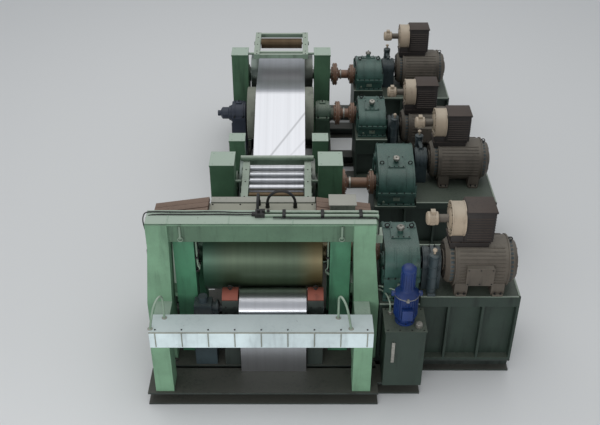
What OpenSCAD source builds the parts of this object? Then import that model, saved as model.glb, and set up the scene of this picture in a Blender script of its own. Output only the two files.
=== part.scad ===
// Rolling mill stand of a steel strip line, with the bridle rolls behind it and their four drives.
// Millimetres. X runs across the strip towards the drives, Y along the line away from the
// work stand's open front, Z up. The origin is on the floor under the strip's centreline.

/* [Strip] */
// Width of the steel strip
strip_w = 1020; // [800:10:1050]
// Thickness of the strip
strip_t = 5; // [3:1:8]
// Gap between the strip and each roll that it wraps
strip_gap = 6; // [6:1:8]

/* [Bridle rolls] */
// Radius of the entry roll
entry_r = 450; // [400:5:460]
// Place of the entry roll's axis along the line
entry_y = 3700; // [3680:10:3760]
// Height of the entry roll's axis
entry_z = 1450; // [1350:10:1500]
// Radius of the big drum
drum_r = 550; // [500:5:600]
// Place of the drum's axis along the line
drum_y = 1900; // [1800:10:2000]
// Height of the drum's axis
drum_z = 1400; // [1300:10:1450]
// Radius of the front bridle roll
front_r = 450; // [400:5:460]
// Place of the front roll's axis along the line
front_y = -850; // [-880:10:-820]
// Height of the front roll's axis
front_z = 1400; // [1300:10:1450]
// Length of a bridle roll's barrel beyond each edge of the strip
barrel_over = 180; // [120:5:190]
// Thickness of the rolls' rims
rim_t = 70; // [40:5:120]
// Depth of the recess in a roll's end
recess_d = 60; // [20:5:120]
// Radius of the bridle rolls' necks in their bearings
neck_r = 110; // [80:5:125]

/* [Work stand] */
// Centre of the work stand across the line
stand_x = -155; // [-180:5:-110]
// Width of the work stand over its outer posts
stand_w = 3350; // [3300:10:3500]
// Width of an outer post
post_w = 320; // [260:10:340]
// Depth of an outer post along the line
post_d = 350; // [300:10:380]
// Clearance between the upper roll and the front beam over it
beam_clear = 160; // [140:10:300]
// Height of the front beam
beam_h = 350; // [300:10:380]
// Thickness of the cap plate on the beam and posts
cap_t = 30; // [20:5:50]
// Width of a roll housing's post
housing_w = 310; // [280:5:340]
// Distance by which an outer post widens from the cap down to its shoulder
post_flare = 100; // [0:5:110]

/* [Stand rolls] */
// Radius of the upper roll
upper_r = 600; // [560:5:610]
// Place of the upper roll's axis along the line
upper_y = -3500; // [-3510:5:-3490]
// Height of the upper roll's axis
upper_z = 1800; // [1790:5:1810]
// Clearance between the upper roll's barrel and a roll housing
housing_clear = 105; // [95:5:130]
// Radius of the upper roll's necks
upper_neck_r = 160; // [120:5:200]
// Radius of the pass-line roll
pass_r = 300; // [280:5:310]
// Gap between the upper roll and the pass-line roll
nip_gap = 40; // [30:1:60]
// Fall of the line from the upper roll's axis to the pass-line roll's axis
nip_angle = 32; // [28:0.1:34]
// Radius of the pass-line roll's necks
pass_neck_r = 60; // [40:5:80]

/* [Bed] */
// Height of the bed's beams
bed_h = 250; // [200:10:300]
// Place of a bed rail's inner side across the line
rail_in = 700; // [690:5:720]
// Width of a bed rail
rail_w = 400; // [380:10:440]
// Thickness of a bed beam's flanges
flange_t = 30; // [20:2:40]
// Thickness of a bed beam's web
web_t = 60; // [40:5:100]

/* [Pedestals] */
// Height of the tall pedestals
ped_top = 2350; // [2250:10:2400]
// Height of the middle pedestals
mid_top = 1860; // [1700:10:1900]
// Distance from the entry roll's axis to the rear pedestals' front faces
rear_ped_off = 960; // [940:10:1000]
// Depth of the rear pedestals
rear_ped_d = 400; // [340:10:420]
// Distance from the front roll's axis to the front pedestals' front faces
front_ped_off = 950; // [930:10:1000]
// Depth of the front pedestals
front_ped_d = 460; // [400:10:480]
// Width of a rear pedestal
ped_w = 345; // [320:5:360]
// Width of a middle pedestal
mid_ped_w = 295; // [260:5:320]
// Width of a front pedestal
front_ped_w = 415; // [360:5:420]

/* [Guide frames] */
// Width of a guide frame beyond each edge of the strip
guide_over = 100; // [95:5:120]
// Distance by which the rear guide frame is narrower on each side
rear_guide_in = 25; // [0:5:40]
// Width of a side bar
guide_bar_w = 120; // [80:5:130]
// Height of a side bar
guide_bar_h = 110; // [80:5:120]
// Length of the front guide frame
front_guide_l = 1080; // [1060:10:1100]
// Slope of the front guide frame, falling towards the work stand
front_guide_slope = 9; // [7:0.5:10]
// Radius of the front guide rollers
guide_r = 45; // [30:1:50]
// Radius of the rear guide roller
rear_guide_r = 110; // [80:5:120]

/* [Drives] */
// Distance from the work stand's flared side to the reducers
drive_gap = 75; // [70:5:110]
// Width of a small reducer's casing
reducer_w = 560; // [520:10:580]
// Distance from a small reducer's output shaft to its input shaft
shaft_gap = 370; // [360:5:380]
// Radius of a small reducer's casing over the output gear
gear_r = 350; // [330:5:360]
// Radius of a small reducer's casing over the input gear
pinion_r = 250; // [240:5:260]
// Width of the front roll's reducer
front_reducer_w = 670; // [640:10:680]
// Rise of the front roll's motor over its spindle
front_rise = 250; // [220:10:260]
// Radius of the casing over the upper roll's output gear
upper_gear_r = 460; // [440:10:470]
// Extra distance of the front roll's drive across the line
front_drive_dx = 150; // [120:10:180]
// Length of a motor's body
motor_l = 1080; // [1000:10:1100]
// Radius of a motor's body
motor_r = 390; // [340:10:400]
// Radius of a blower's scroll
scroll_r = 260; // [230:10:280]
// Height from a drive's base to its motor's shaft
shaft_h = 420; // [415:5:450]

/* [Front table] */
// Height of the front table's top
table_top = 1480; // [1450:10:1500]
// Thickness of the front table
table_t = 300; // [250:10:320]
// Depth of the front table along the line
table_d = 400; // [360:10:420]

/* [Hidden] */

// Running clearance of a shaft in its bearing
run_gap = 0.05;
// Clearance of a moving part's side from its neighbour
side_gap = 15;
// Gap between a spindle and what it turns in front of
end_gap = 5;
tube_fn = 64;
roll_fn = 128;
small_fn = 32;

// Colours
pale_green = "#8fae8e";
cap_green = "#c9d6c0";
deep_green = "#3f6b5f";
rust_brown = "#7a4a35";
motor_brown = "#5b4a3c";
band_tan = "#b59b7e";
dark_steel = "#2b2f36";
bright_steel = "#c4c8cc";
chock_red = "#a03a28";
pump_blue = "#1f3f8a";

// Sizes that follow from the strip and the rolls
barrel_w = strip_w + 2 * barrel_over;
pass_w = strip_w + 10;
guide_w = strip_w + 2 * guide_over;
nip = upper_r + pass_r + nip_gap;
pass_y = upper_y - nip * cos(nip_angle);
pass_z = upper_z - nip * sin(nip_angle);
housing_gap = 25;
window_w = stand_w - 2 * (post_w + housing_gap + housing_w);
upper_w = window_w - 2 * housing_clear;
upper_top = upper_z + upper_r;
stand_front = upper_y - upper_r - 230;
stand_top = upper_top + beam_clear + beam_h;
spindle_flange_r = 250;
tie_top = upper_z - spindle_flange_r - side_gap;
rear_top = upper_z + 130;
rear_ped_y = entry_y - rear_ped_off;
front_ped_y = front_y - front_ped_off;

// Derived places
seat_half = 160;
rail_out = rail_in + rail_w;
bearing_in = barrel_w / 2 + 50;
bearing_w = 280;
stand_l = stand_x - stand_w / 2;
stand_r = stand_x + stand_w / 2;
rear_beam_y = upper_y + upper_r + 60;
rear_beam_d = 220;
stand_rear = rear_beam_y + rear_beam_d;
beam_back = stand_front + post_d;
beam_set = 40;
beam_bottom = stand_top - beam_h;
window_l = stand_x - window_w / 2;
window_r = stand_x + window_w / 2;
sole_front = pass_y - seat_half - 20;
sole_front_d = beam_back + 180 - sole_front;
sole_rear_d = 500;
sole_rear = stand_rear + 30 - sole_rear_d;
table_back = pass_y - pass_r - 60;
table_y = table_back - table_d;
foot_y = table_y - 20;
foot_d = pass_y - pass_r + 60 - foot_y;
bed_back = entry_y + entry_r + 200;
reducer_x = stand_r + post_flare + drive_gap;
casing_foot = 40;
tie_d = 340;

// Places that follow from the bed and the rails
rail_mid = rail_in + rail_w / 2;
front_ped_x = rail_in + front_ped_w / 2 + 30;
mid_ped_x = rail_in + mid_ped_w / 2 - 50;
rear_ped_x = rail_in + ped_w / 2 + 17;
rear_guide_w = guide_w - 2 * rear_guide_in;
flare_z = table_top - 60;
mid_y = 50;
mid_d = 300;
front_ped_mid = front_ped_y + front_ped_d / 2;
strip_seat_y = bed_back - 150;
edge = 8;
neck_l = bearing_in + bearing_w + 50;
neck_out = bearing_in + bearing_w + 100;
upper_end_l = stand_w / 2 - post_w;
upper_end_r = upper_end_l + 30;
spindle_r = 95;
out_r = 85;
boss_t = 20;
pass_chock_x = pass_w / 2 + side_gap;
pass_chock_w = 240;
chock_half = 370;
chock_up = 350;
housing_front = pass_y + seat_half + 10;
rear_beam_top = rear_top - 60;
box_half = 815;
box_back = upper_y + 50;
box_bottom = upper_top + 70;
box_top = box_bottom + 230;
cover_out = stand_w / 2 - 30;
cover_fall = 200;
cover_t = 60;
cover_lip = 130;
table_half = stand_w / 2 - 25;
rail_h = 470;
rail_off = 25;
rail_span = 170;
hook_x = stand_r - post_w - 190;
hook_l = 30;
rail_r = 17;
elbow_t = 3;
conduit_r = 22;
fitting_x = -120;
hose_r = 16;
fitting_h = 90;
pin_l = 60;
rear_guide_y = rear_ped_y + 40;
rear_guide_l = 1190;
rear_roller_y = entry_y - 210;
rear_pin_r = 20;
front_pin_r = 14;
front_guide_y = front_y - 150;
front_guide_z = front_z + front_r + 170;
front_tie_y = -570;
rib_t = 40;
brake_arm = 310;
stud_r = 40;
pump_x = stand_r + 470;
pump_y = stand_front - 320;
tank_w = 600;
tank_d = 520;
tank_top = 1350;

// Drives, in the order of the strip: [roll y, roll z, side of the input shaft, extra x, casing width,
// shaft distance, output gear radius, input gear radius, rise of the input shaft, extra motor x, depth]
DRIVES = [
  [entry_y, entry_z, 1, 0, reducer_w, shaft_gap, gear_r, pinion_r, 0, 0, 230],
  [drum_y, drum_z, -1, -70, reducer_w, shaft_gap, gear_r, pinion_r, -90, -50, 220],
  [front_y, front_z, 1, front_drive_dx, front_reducer_w, shaft_gap + 90, gear_r + 40, pinion_r + 30, front_rise, -50, 250],
  [upper_y, upper_z, -1, 0, reducer_w - 30, shaft_gap + 60, upper_gear_r, pinion_r + 40, 165, 0, 400]
];
brake_l = 320;
base_x0 = -60;
function drive_x(d) = reducer_x + d[3];
function input_y(d) = d[0] + d[2] * d[5];
function input_z(d) = d[1] + d[8];
function motor_x(d) = drive_x(d) + d[4] + brake_l + 60 + d[9];
function base_out(d) = d[6] + casing_foot + 15;
function base_in(d) = motor_r + 20;
function base_w(d) = base_out(d) + d[5] + base_in(d);
function base_y(d) = d[0] + d[2] * (d[5] + base_in(d) - base_out(d)) / 2;
function base_end(d) = motor_x(d) + motor_l + 100;
function casing_base(d) = d[1] - d[10];
function motor_base(d) = input_z(d) - shaft_h;

// Strip path: [y, z, radius of the strip's middle, turning side]
WRAPS = [
  [entry_y, entry_z, entry_r + strip_gap + strip_t / 2, 1],
  [drum_y, drum_z, drum_r + strip_gap + strip_t / 2, 1],
  [front_y, front_z, front_r + strip_gap + strip_t / 2, -1],
  [upper_y, upper_z, upper_r + strip_gap + strip_t / 2, -1],
  [pass_y, pass_z, pass_r + strip_gap + strip_t / 2, 1]
];
wrap_step = 5;
function wrap_apart(a, b) = norm([b[0] - a[0], b[1] - a[1]]);
function wrap_side(a, b) = asin((b[3] * b[2] - a[3] * a[2]) / wrap_apart(a, b));
function heading(a, b) = (atan2(b[1] - a[1], b[0] - a[0]) + 360) % 360 - wrap_side(a, b);
function heading_in(i) = i == 0 ? 90 : heading(WRAPS[i - 1], WRAPS[i]);
function heading_out(i) = i == len(WRAPS) - 1 ? 270 : heading(WRAPS[i], WRAPS[i + 1]);
function wrap_steps(i) = ceil(abs(heading_out(i) - heading_in(i)) / wrap_step);
function wrap_turn(i, k) = heading_in(i) + (heading_out(i) - heading_in(i)) * k / wrap_steps(i);
function wrap_point(w, h, off) =
  let (r = w[3] * w[2] - off) [w[0] + r * sin(h), w[1] - r * cos(h)];
function strip_side(off) = concat(
  [[entry_y + WRAPS[0][2] - off, bed_h]],
  [for (i = [0 : len(WRAPS) - 1]) for (k = [0 : wrap_steps(i)])
    wrap_point(WRAPS[i], wrap_turn(i, k), off)],
  [[pass_y - WRAPS[4][2] + off, bed_h]]
);
function reversed(list) = [for (i = [len(list) - 1 : -1 : 0]) list[i]];

// A cylinder along X from x0 to x1
module bar_x(r, x0, x1, fn = tube_fn) {
  translate([x0, 0, 0]) rotate([0, 90, 0]) cylinder(r = r, h = x1 - x0, $fn = fn);
}

// A solid turned about X from points [radius, x]
module turned_x(points, fn = roll_fn) {
  rotate([0, 90, 0]) rotate_extrude($fn = fn) polygon(points);
}

// A box given by its lowest and highest corners
module block(low, high) {
  translate(low) cube(high - low);
}

// A profile in Y and Z drawn out along X from x0 to x1
module slab_x(x0, x1) {
  translate([x0, 0, 0]) rotate([90, 0, 90]) linear_extrude(x1 - x0) children();
}

// A profile in X and Z drawn out along Y from y0 to y1
module slab_y(y0, y1) {
  translate([0, y1, 0]) rotate([90, 0, 0]) linear_extrude(y1 - y0) children();
}

// The two sides of the line
module both_sides() {
  children();
  mirror([1, 0, 0]) children();
}

// The two sides of the work stand
module stand_sides() {
  children();
  translate([2 * stand_x, 0, 0]) mirror([1, 0, 0]) children();
}

// An I-beam section of the bed, with its feet at zero
module beam_section(w) {
  difference() {
    translate([-w / 2, 0]) square([w, bed_h]);
    for (s = [-1, 1])
      translate([s * (web_t + w) / 2, bed_h / 2])
        square([w, bed_h - 2 * flange_t], center = true);
  }
}

// A bed beam across the line
module crossbeam(y, x0, x1, w = 300) {
  slab_x(x0, x1) translate([y, 0]) beam_section(w);
}

module bed_rails() color(dark_steel)
  both_sides()
    slab_y(sole_rear + sole_rear_d, bed_back) translate([rail_mid, 0]) beam_section(rail_w);

module bed_crossbeams() color(dark_steel) {
  for (y = [strip_seat_y, rear_ped_y + rear_ped_d / 2, drum_y, mid_y, front_y, front_ped_mid])
    crossbeam(y, -rail_in, rail_in);
  for (i = [0 : 3]) for (s = [-1, 1]) {
    d = DRIVES[i];
    crossbeam(base_y(d) + s * (base_w(d) / 2 - 150), i == 3 ? stand_r + post_flare : rail_out, base_end(d));
  }
  crossbeam(pump_y, stand_r + post_flare, pump_x + tank_w / 2, tank_d - 120);
}

module stand_soles() color(dark_steel) {
  for (s = [[sole_front, sole_front_d], [sole_rear, sole_rear_d], [foot_y, foot_d]])
    slab_x(stand_l - post_flare, stand_r + post_flare) translate([s[0] + s[1] / 2, 0]) beam_section(s[1]);
}

// A box column on a bed rail, with a foot plate and a cap plate
module pedestal(x, w, y, d, top) {
  block([x - w / 2, y, bed_h], [x + w / 2, y + d, top - cap_t]);
  block([x - w / 2 - 8, y - 8, top - cap_t], [x + w / 2 + 8, y + d + 8, top]);
  block([rail_mid - rail_w / 2, y - 30, bed_h], [rail_mid + rail_w / 2, y + d + 30, bed_h + cap_t]);
}

module pedestals() color(pale_green)
  both_sides() {
    pedestal(rear_ped_x, ped_w, rear_ped_y, rear_ped_d, ped_top);
    pedestal(front_ped_x, front_ped_w, front_ped_y, front_ped_d, ped_top);
    pedestal(mid_ped_x, mid_ped_w, mid_y - mid_d / 2, mid_d, mid_top);
  }

// A bearing pedestal that carries a roll's neck
module neck_bearing(y, z, half, cap_r) {
  difference() {
    union() {
      slab_x(bearing_in, bearing_in + bearing_w) {
        translate([y, z]) circle(r = cap_r, $fn = roll_fn);
        polygon([
          [y - half, bed_h], [y + half, bed_h], [y + half, bed_h + 60], [y + cap_r, z - cap_r],
          [y + cap_r, z], [y - cap_r, z], [y - cap_r, z - cap_r], [y - half, bed_h + 60]
        ]);
      }
      translate([0, y, z]) bar_x(neck_r + 60, bearing_in - 20, bearing_in + bearing_w + 20, roll_fn);
      block([bearing_in, y - cap_r - 50, z - 30], [bearing_in + bearing_w, y + cap_r + 50, z + 30]);
    }
    translate([0, y, z]) bar_x(neck_r + run_gap, bearing_in - 60, bearing_in + bearing_w + 60, roll_fn);
  }
}

module roll_bearings() color(deep_green)
  both_sides() {
    neck_bearing(entry_y, entry_z, 300, 220);
    neck_bearing(front_y, front_z, 300, 220);
  }

module drum_bearings() color(deep_green)
  both_sides() neck_bearing(drum_y, drum_z, 340, 250);

// One end of a roll, as points [radius, x] from its rim to its axis
function roll_end(r, b, hub, neck, end) = [
  [r, b - edge], [r - edge, b], [r - rim_t, b], [r - rim_t, b - recess_d], [hub, b - recess_d],
  [hub, b + 10], [neck, b + 10], [neck, end], [0, end]
];
function mirrored_x(list) = [for (p = list) [p[0], -p[1]]];

// A roll turned in one piece: its barrel, recessed ends, hubs and necks
module turned_roll(r, b, hub, neck, end_l, end_r) {
  turned_x(concat(reversed(mirrored_x(roll_end(r, b, hub, neck, end_l))), roll_end(r, b, hub, neck, end_r)));
}

module bridle_roll(r, y, z) {
  translate([0, y, z]) turned_roll(r, barrel_w / 2, neck_r + 90, neck_r, neck_l, neck_out);
}

// A geared spindle from a roll's neck at x1 to a reducer's face at x2
module spindle(x1, x2) {
  turned_x([
    [0, x1], [170, x1], [170, x1 + 40], [spindle_flange_r, x1 + 40], [spindle_flange_r, x1 + 75], [spindle_flange_r - 15, x1 + 75],
    [spindle_flange_r - 15, x1 + 88], [spindle_flange_r, x1 + 88], [spindle_flange_r, x1 + 123], [150, x1 + 123], [150, x1 + 155],
    [spindle_r, x1 + 170], [spindle_r, x2 - 195], [145, x2 - 180], [145, x2 - 150], [220, x2 - 150],
    [220, x2 - 118], [205, x2 - 118], [205, x2 - 106], [220, x2 - 106], [220, x2 - 73],
    [145, x2 - 73], [145, x2 - boss_t - end_gap], [out_r, x2 - boss_t - end_gap],
    [out_r, x2 + 60], [0, x2 + 60]
  ]);
}

module drive_spindle(d, x1) color(rust_brown)
  translate([0, d[0], d[1]]) spindle(x1, drive_x(d));

module entry_roll() color(bright_steel) bridle_roll(entry_r, entry_y, entry_z);
module big_drum() color(band_tan) bridle_roll(drum_r, drum_y, drum_z);
module front_roll() color(bright_steel) bridle_roll(front_r, front_y, front_z);
module entry_spindle() drive_spindle(DRIVES[0], neck_out);
module drum_spindle() drive_spindle(DRIVES[1], neck_out);
module front_spindle() drive_spindle(DRIVES[2], neck_out);
module upper_spindle() drive_spindle(DRIVES[3], stand_x + upper_end_r);

module upper_roll() color(bright_steel)
  translate([stand_x, upper_y, upper_z])
    turned_roll(upper_r, upper_w / 2, upper_neck_r + 60, upper_neck_r, upper_end_l, upper_end_r);

module pass_line_roll() color(bright_steel)
  translate([0, pass_y, pass_z])
    turned_x(concat(reversed(mirrored_x(pass_end())), pass_end()));
function pass_end() = [
  [pass_r, pass_w / 2 - edge], [pass_r - edge, pass_w / 2], [pass_neck_r + 30, pass_w / 2],
  [pass_neck_r + 30, pass_w / 2 + 5], [pass_neck_r, pass_w / 2 + 5],
  [pass_neck_r, pass_chock_x + pass_chock_w + 10], [0, pass_chock_x + pass_chock_w + 10]
];

module steel_strip() color(bright_steel)
  slab_x(-strip_w / 2, strip_w / 2)
    polygon(concat(strip_side(strip_t / 2), reversed(strip_side(-strip_t / 2))));

// A guide frame's side bar with its tie rod to the pedestal's side and its rollers' bores [y, z, r]
module guide_side(w, y0, y1, z0, tie_y, tie_x, bores) {
  difference() {
    union() {
      block([guide_in(w), y0, z0 - guide_bar_h], [w / 2, y1, z0]);
      translate([0, tie_y, z0 - guide_bar_h / 2]) bar_x(25, w / 2 - 10, tie_x);
    }
    for (b = bores)
      translate([0, b[0], b[1]]) bar_x(b[2] + run_gap, guide_in(w) - 10, guide_in(w) + pin_l + 10);
  }
}

// A guide roller with a pin at each end, for a frame of width w
module guide_roller(w, r, pin_r) {
  half = guide_in(w) - side_gap;
  end = guide_in(w) + pin_l;
  turned_x(concat(
    [[0, -end], [pin_r, -end], [pin_r, -half], [r - 4, -half], [r, -half + 4]],
    [[r, half - 4], [r - 4, half], [pin_r, half], [pin_r, end], [0, end]]
  ), tube_fn);
}

// The front guide frame's own place, from its upper end
module on_front_guide() {
  translate([0, front_guide_y, front_guide_z]) rotate([front_guide_slope, 0, 0]) children();
}
function guide_in(w) = w / 2 - guide_bar_w;
function guide_radius(i) = guide_r + [0, 0, 0, 20, 10][i];
function guide_place(i) = -front_guide_l * [0.21, 0.375, 0.52, 0.7, 0.875][i];

module rear_guide_frame() color(cap_green)
  both_sides()
    guide_side(rear_guide_w, rear_guide_y, rear_guide_y + rear_guide_l, ped_top, rear_ped_y + rear_ped_d / 2,
      rear_ped_x - ped_w / 2, [[rear_roller_y, ped_top - guide_bar_h / 2, rear_pin_r]]);

module front_guide_frame() color(cap_green)
  both_sides()
    on_front_guide()
      guide_side(guide_w, -front_guide_l, 0, 0, front_tie_y, front_ped_x - front_ped_w / 2,
        [for (i = [0 : 4]) [guide_place(i), -guide_bar_h / 2, front_pin_r]]);

module guide_crossbars() color(cap_green) {
  for (y = [rear_guide_y, rear_guide_y + 130, rear_guide_y + rear_guide_l - 70])
    block([-guide_in(rear_guide_w), y, ped_top - guide_bar_h + 15], [guide_in(rear_guide_w), y + 70, ped_top - 10]);
  on_front_guide() {
    block([-guide_in(guide_w), -80, -guide_bar_h + 10], [guide_in(guide_w), 0, 0]);
    block([-guide_in(guide_w), -front_guide_l, -guide_bar_h + 10], [guide_in(guide_w), -front_guide_l + 60, -10]);
    slab_x(-guide_w / 2 - 45, guide_w / 2 + 45) translate([-55, 0])
      intersection() {
        translate([0, 42]) circle(r = 50, $fn = tube_fn);
        translate([-60, 0]) square([120, 100]);
      }
  }
}

module rear_guide_roller() color(motor_brown)
  translate([0, rear_roller_y, ped_top - guide_bar_h / 2]) guide_roller(rear_guide_w, rear_guide_r, rear_pin_r);

module front_guide_roller(i) color(bright_steel)
  on_front_guide() translate([0, guide_place(i - 1), -guide_bar_h / 2])
    guide_roller(guide_w, guide_radius(i - 1), front_pin_r);

module stand_posts() color(pale_green)
  stand_sides() {
    slab_y(stand_front, beam_back)
      polygon([
        [stand_r, stand_top - cap_t], [stand_r, beam_bottom - 100], [stand_r + post_flare, flare_z],
        [stand_r + post_flare, bed_h], [stand_r - post_w + post_flare * 0.4, bed_h],
        [stand_r - post_w + post_flare * 0.4, flare_z], [stand_r - post_w, beam_bottom - 100],
        [stand_r - post_w, stand_top - cap_t]
      ]);
    block([stand_r - post_w, stand_rear - tie_d, bed_h], [stand_r, stand_rear, rear_top]);
  }

module housing_posts() color(deep_green)
  stand_sides() {
    block([window_r, housing_front, bed_h], [window_r + housing_w, upper_y - chock_half, beam_bottom]);
    block([window_r, upper_y + chock_half, bed_h], [window_r + housing_w, rear_beam_y, upper_z + chock_up]);
  }

module stand_top_beam() color(cap_green) {
  block([stand_l + post_w, stand_front + beam_set, beam_bottom], [stand_r - post_w, beam_back, stand_top - cap_t]);
  block([stand_l, stand_front, stand_top - cap_t], [stand_r, beam_back, stand_top]);
}

module stand_rear_ties() color(pale_green) {
  block([stand_l + post_w, rear_beam_y, rear_beam_top - 320], [stand_r - post_w, stand_rear, rear_beam_top]);
  stand_sides()
    block([stand_r - post_w, beam_back, tie_top - 200], [stand_r, stand_rear - tie_d, tie_top]);
}

module balance_box() color(cap_green)
  slab_x(stand_x - box_half, stand_x + box_half)
    polygon([
      [beam_back, box_bottom], [box_back, box_bottom], [box_back, box_top - 40],
      [box_back - 40, box_top], [beam_back, box_top]
    ]);

module sloping_covers() color(rust_brown)
  stand_sides()
    slab_y(upper_y - chock_half + 10, box_back) translate([stand_x, 0])
      polygon([
        [box_half, box_top], [cover_out, box_top - cover_fall], [cover_out, box_top - cover_fall - cover_lip],
        [cover_out - 30, box_top - cover_fall - cover_lip], [cover_out - 30, box_top - cover_fall - cover_t],
        [box_half, box_top - cover_t]
      ]);

module upper_roll_chocks() color(dark_steel)
  stand_sides()
    difference() {
      slab_x(window_r + 20, window_r + housing_w - 20) translate([upper_y, upper_z]) polygon([
        [-chock_half, 80 - chock_up], [80 - chock_half, -chock_up], [chock_half - 80, -chock_up],
        [chock_half, 80 - chock_up], [chock_half, chock_up - 80], [chock_half - 80, chock_up],
        [80 - chock_half, chock_up], [-chock_half, chock_up - 80]
      ]);
      translate([0, upper_y, upper_z])
        bar_x(upper_neck_r + run_gap, window_r - 20, window_r + housing_w + 20, roll_fn);
    }

module pass_roll_chocks() color(chock_red)
  both_sides()
    difference() {
      slab_x(pass_chock_x, pass_chock_x + pass_chock_w) translate([pass_y, pass_z]) {
        translate([0, 220]) circle(r = 150, $fn = roll_fn);
        translate([-150, -150]) square([300, 370]);
      }
      translate([0, pass_y, pass_z])
        bar_x(pass_neck_r + run_gap, pass_chock_x - 20, pass_chock_x + pass_chock_w + 20);
    }

module chock_seats() color(dark_steel)
  both_sides()
    block([pass_chock_x, pass_y - seat_half, bed_h], [pass_chock_x + pass_chock_w, pass_y + seat_half, pass_z - 150]);

module front_table() color(cap_green)
  block([stand_x - table_half, table_y, table_top - table_t], [stand_x + table_half, table_back, table_top]);

module table_supports() color(pale_green)
  stand_sides() {
    block([stand_x + table_half - 280, table_y + 20, bed_h], [stand_x + table_half, table_back - 40, table_top - table_t]);
    block([stand_x + table_half - 260, table_back, table_top - table_t + 40], [stand_x + table_half - 20, stand_front, table_top - 20]);
  }

// A tube from point a to point b, in millimetres
module tube(a, b, r) {
  v = b - a;
  translate(a)
    rotate([0, acos(v[2] / norm(v)), atan2(v[1], v[0])]) cylinder(r = r, h = norm(v), $fn = small_fn);
}

// A grab rail: two legs from the table and the bar over them
module grab_rail(x_in, x_out) {
  foot_in = [x_in, table_back - 80, table_top];
  foot_out = [x_out, table_back - 320, table_top];
  up = [0, 0, rail_h];
  tube(foot_in, foot_in + up, rail_r);
  tube(foot_out, foot_out + up, rail_r);
  tube(foot_in + up, foot_out + up, rail_r);
  for (p = [foot_in, foot_out]) translate(p + up) sphere(r = rail_r + elbow_t, $fn = small_fn);
}

module grab_rails() color(cap_green) {
  grab_rail(stand_x - table_half + rail_span + rail_off, stand_x - table_half + rail_off);
  grab_rail(hook_x - rail_off, hook_x - rail_off + rail_span);
}

module lifting_hooks() color(cap_green)
  stand_sides() {
    block([hook_x, stand_front + beam_set - 20, beam_bottom + 60], [hook_x + hook_l, stand_front + beam_set, beam_bottom + 280]);
    translate([hook_x + hook_l / 2, stand_front + beam_set - 10, beam_bottom + 50])
      rotate([90, 0, 0]) rotate_extrude($fn = small_fn) translate([35, 0]) circle(r = 9, $fn = small_fn);
  }

module beam_conduits() color(cap_green) {
  for (y = [beam_back - 80, beam_back - 170]) {
    z = stand_top + conduit_r;
    x = stand_r + conduit_r;
    translate([0, y, z]) bar_x(conduit_r, fitting_x + 20, x, small_fn);
    translate([x, y, z]) sphere(r = conduit_r, $fn = small_fn);
    tube([x, y, beam_bottom], [x, y, z], conduit_r);
  }
  block([stand_r, beam_back - 230, beam_bottom - 80], [stand_r + 110, beam_back - 20, beam_bottom + 60]);
}

// The block where the conduits and the hoses meet
module hose_manifold() color(dark_steel) {
  block([fitting_x - 120, beam_back - 200, stand_top], [fitting_x + 20, beam_back - 50, stand_top + 60]);
  translate([fitting_x - 170, 0, 0])
    block([0, beam_back - 160, stand_top], [50, beam_back - 90, stand_top + 40]);
}

// A hose that stands in a half circle over the balance box, between two fittings
module hose_arc(a, b) {
  translate([(a[0] + b[0]) / 2, (a[1] + b[1]) / 2, box_top]) rotate([0, 0, atan2(b[1] - a[1], b[0] - a[0])]) {
    translate([0, 0, fitting_h]) rotate([90, 0, 0])
      rotate_extrude(angle = 180, $fn = roll_fn) translate([norm(b - a) / 2, 0]) circle(r = hose_r, $fn = small_fn);
    for (s = [-1, 1]) translate([s * norm(b - a) / 2, 0, 0]) cylinder(r = hose_r + 9, h = fitting_h, $fn = small_fn);
  }
}

module beam_hoses() color(dark_steel) {
  hose_arc([fitting_x + 40, box_back - 150], [fitting_x + 460, box_back - 150]);
  hose_arc([fitting_x - 95, beam_back + 60], [fitting_x - 95, box_back - 80]);
}

// Brackets that hold the covers' inner ends, and a box on the drive side's cover
module cover_brackets() color(rust_brown) {
  stand_sides()
    block([stand_x + box_half, beam_back, box_bottom + 20], [stand_x + box_half + 90, upper_y - chock_half + 10, box_top + 30]);
}

// Turning unit beside the pass-line roll's idle end
module pass_roll_unit() color(dark_steel) {
  x1 = -pass_chock_x - pass_chock_w;
  block([x1 - 470, pass_y - 150, bed_h], [x1 - 130, pass_y + 150, pass_z - 120]);
  block([x1 - 440, pass_y - 110, pass_z - 120], [x1 - 170, pass_y + 110, pass_z + 130]);
  translate([0, pass_y, pass_z]) {
    bar_x(95, x1 - 170, x1 - 60, roll_fn);
    bar_x(60, x1 - 60, x1 - 15, small_fn);
    bar_x(130, x1 - 110, x1 - 75, roll_fn);
  }
  translate([x1 - 305, pass_y, pass_z + 130]) cylinder(r = 70, h = 110, $fn = roll_fn);
}

// Points on an arc about c from angle a0 to a1
function arc(c, r, a0, a1, n = 18) =
  [for (i = [0 : n]) let (a = a0 + (a1 - a0) * i / n) [c[0] + r * cos(a), c[1] + r * sin(a)]];

// The casing's outline over its output gear at zero and its input gear beside and above it
function lean(d) = atan2(max(0, d[8]), d[5]) - asin((d[6] - d[7]) / norm([d[5], max(0, d[8])]));
function casing_outline(d) = concat(
  [[-d[6], -d[10]]],
  arc([0, 0], d[6], 180, 90 + lean(d)),
  arc([d[5], max(0, d[8])], d[7], 90 + lean(d), 0),
  [[d[5] + d[7], -d[10]]]
);

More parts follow.
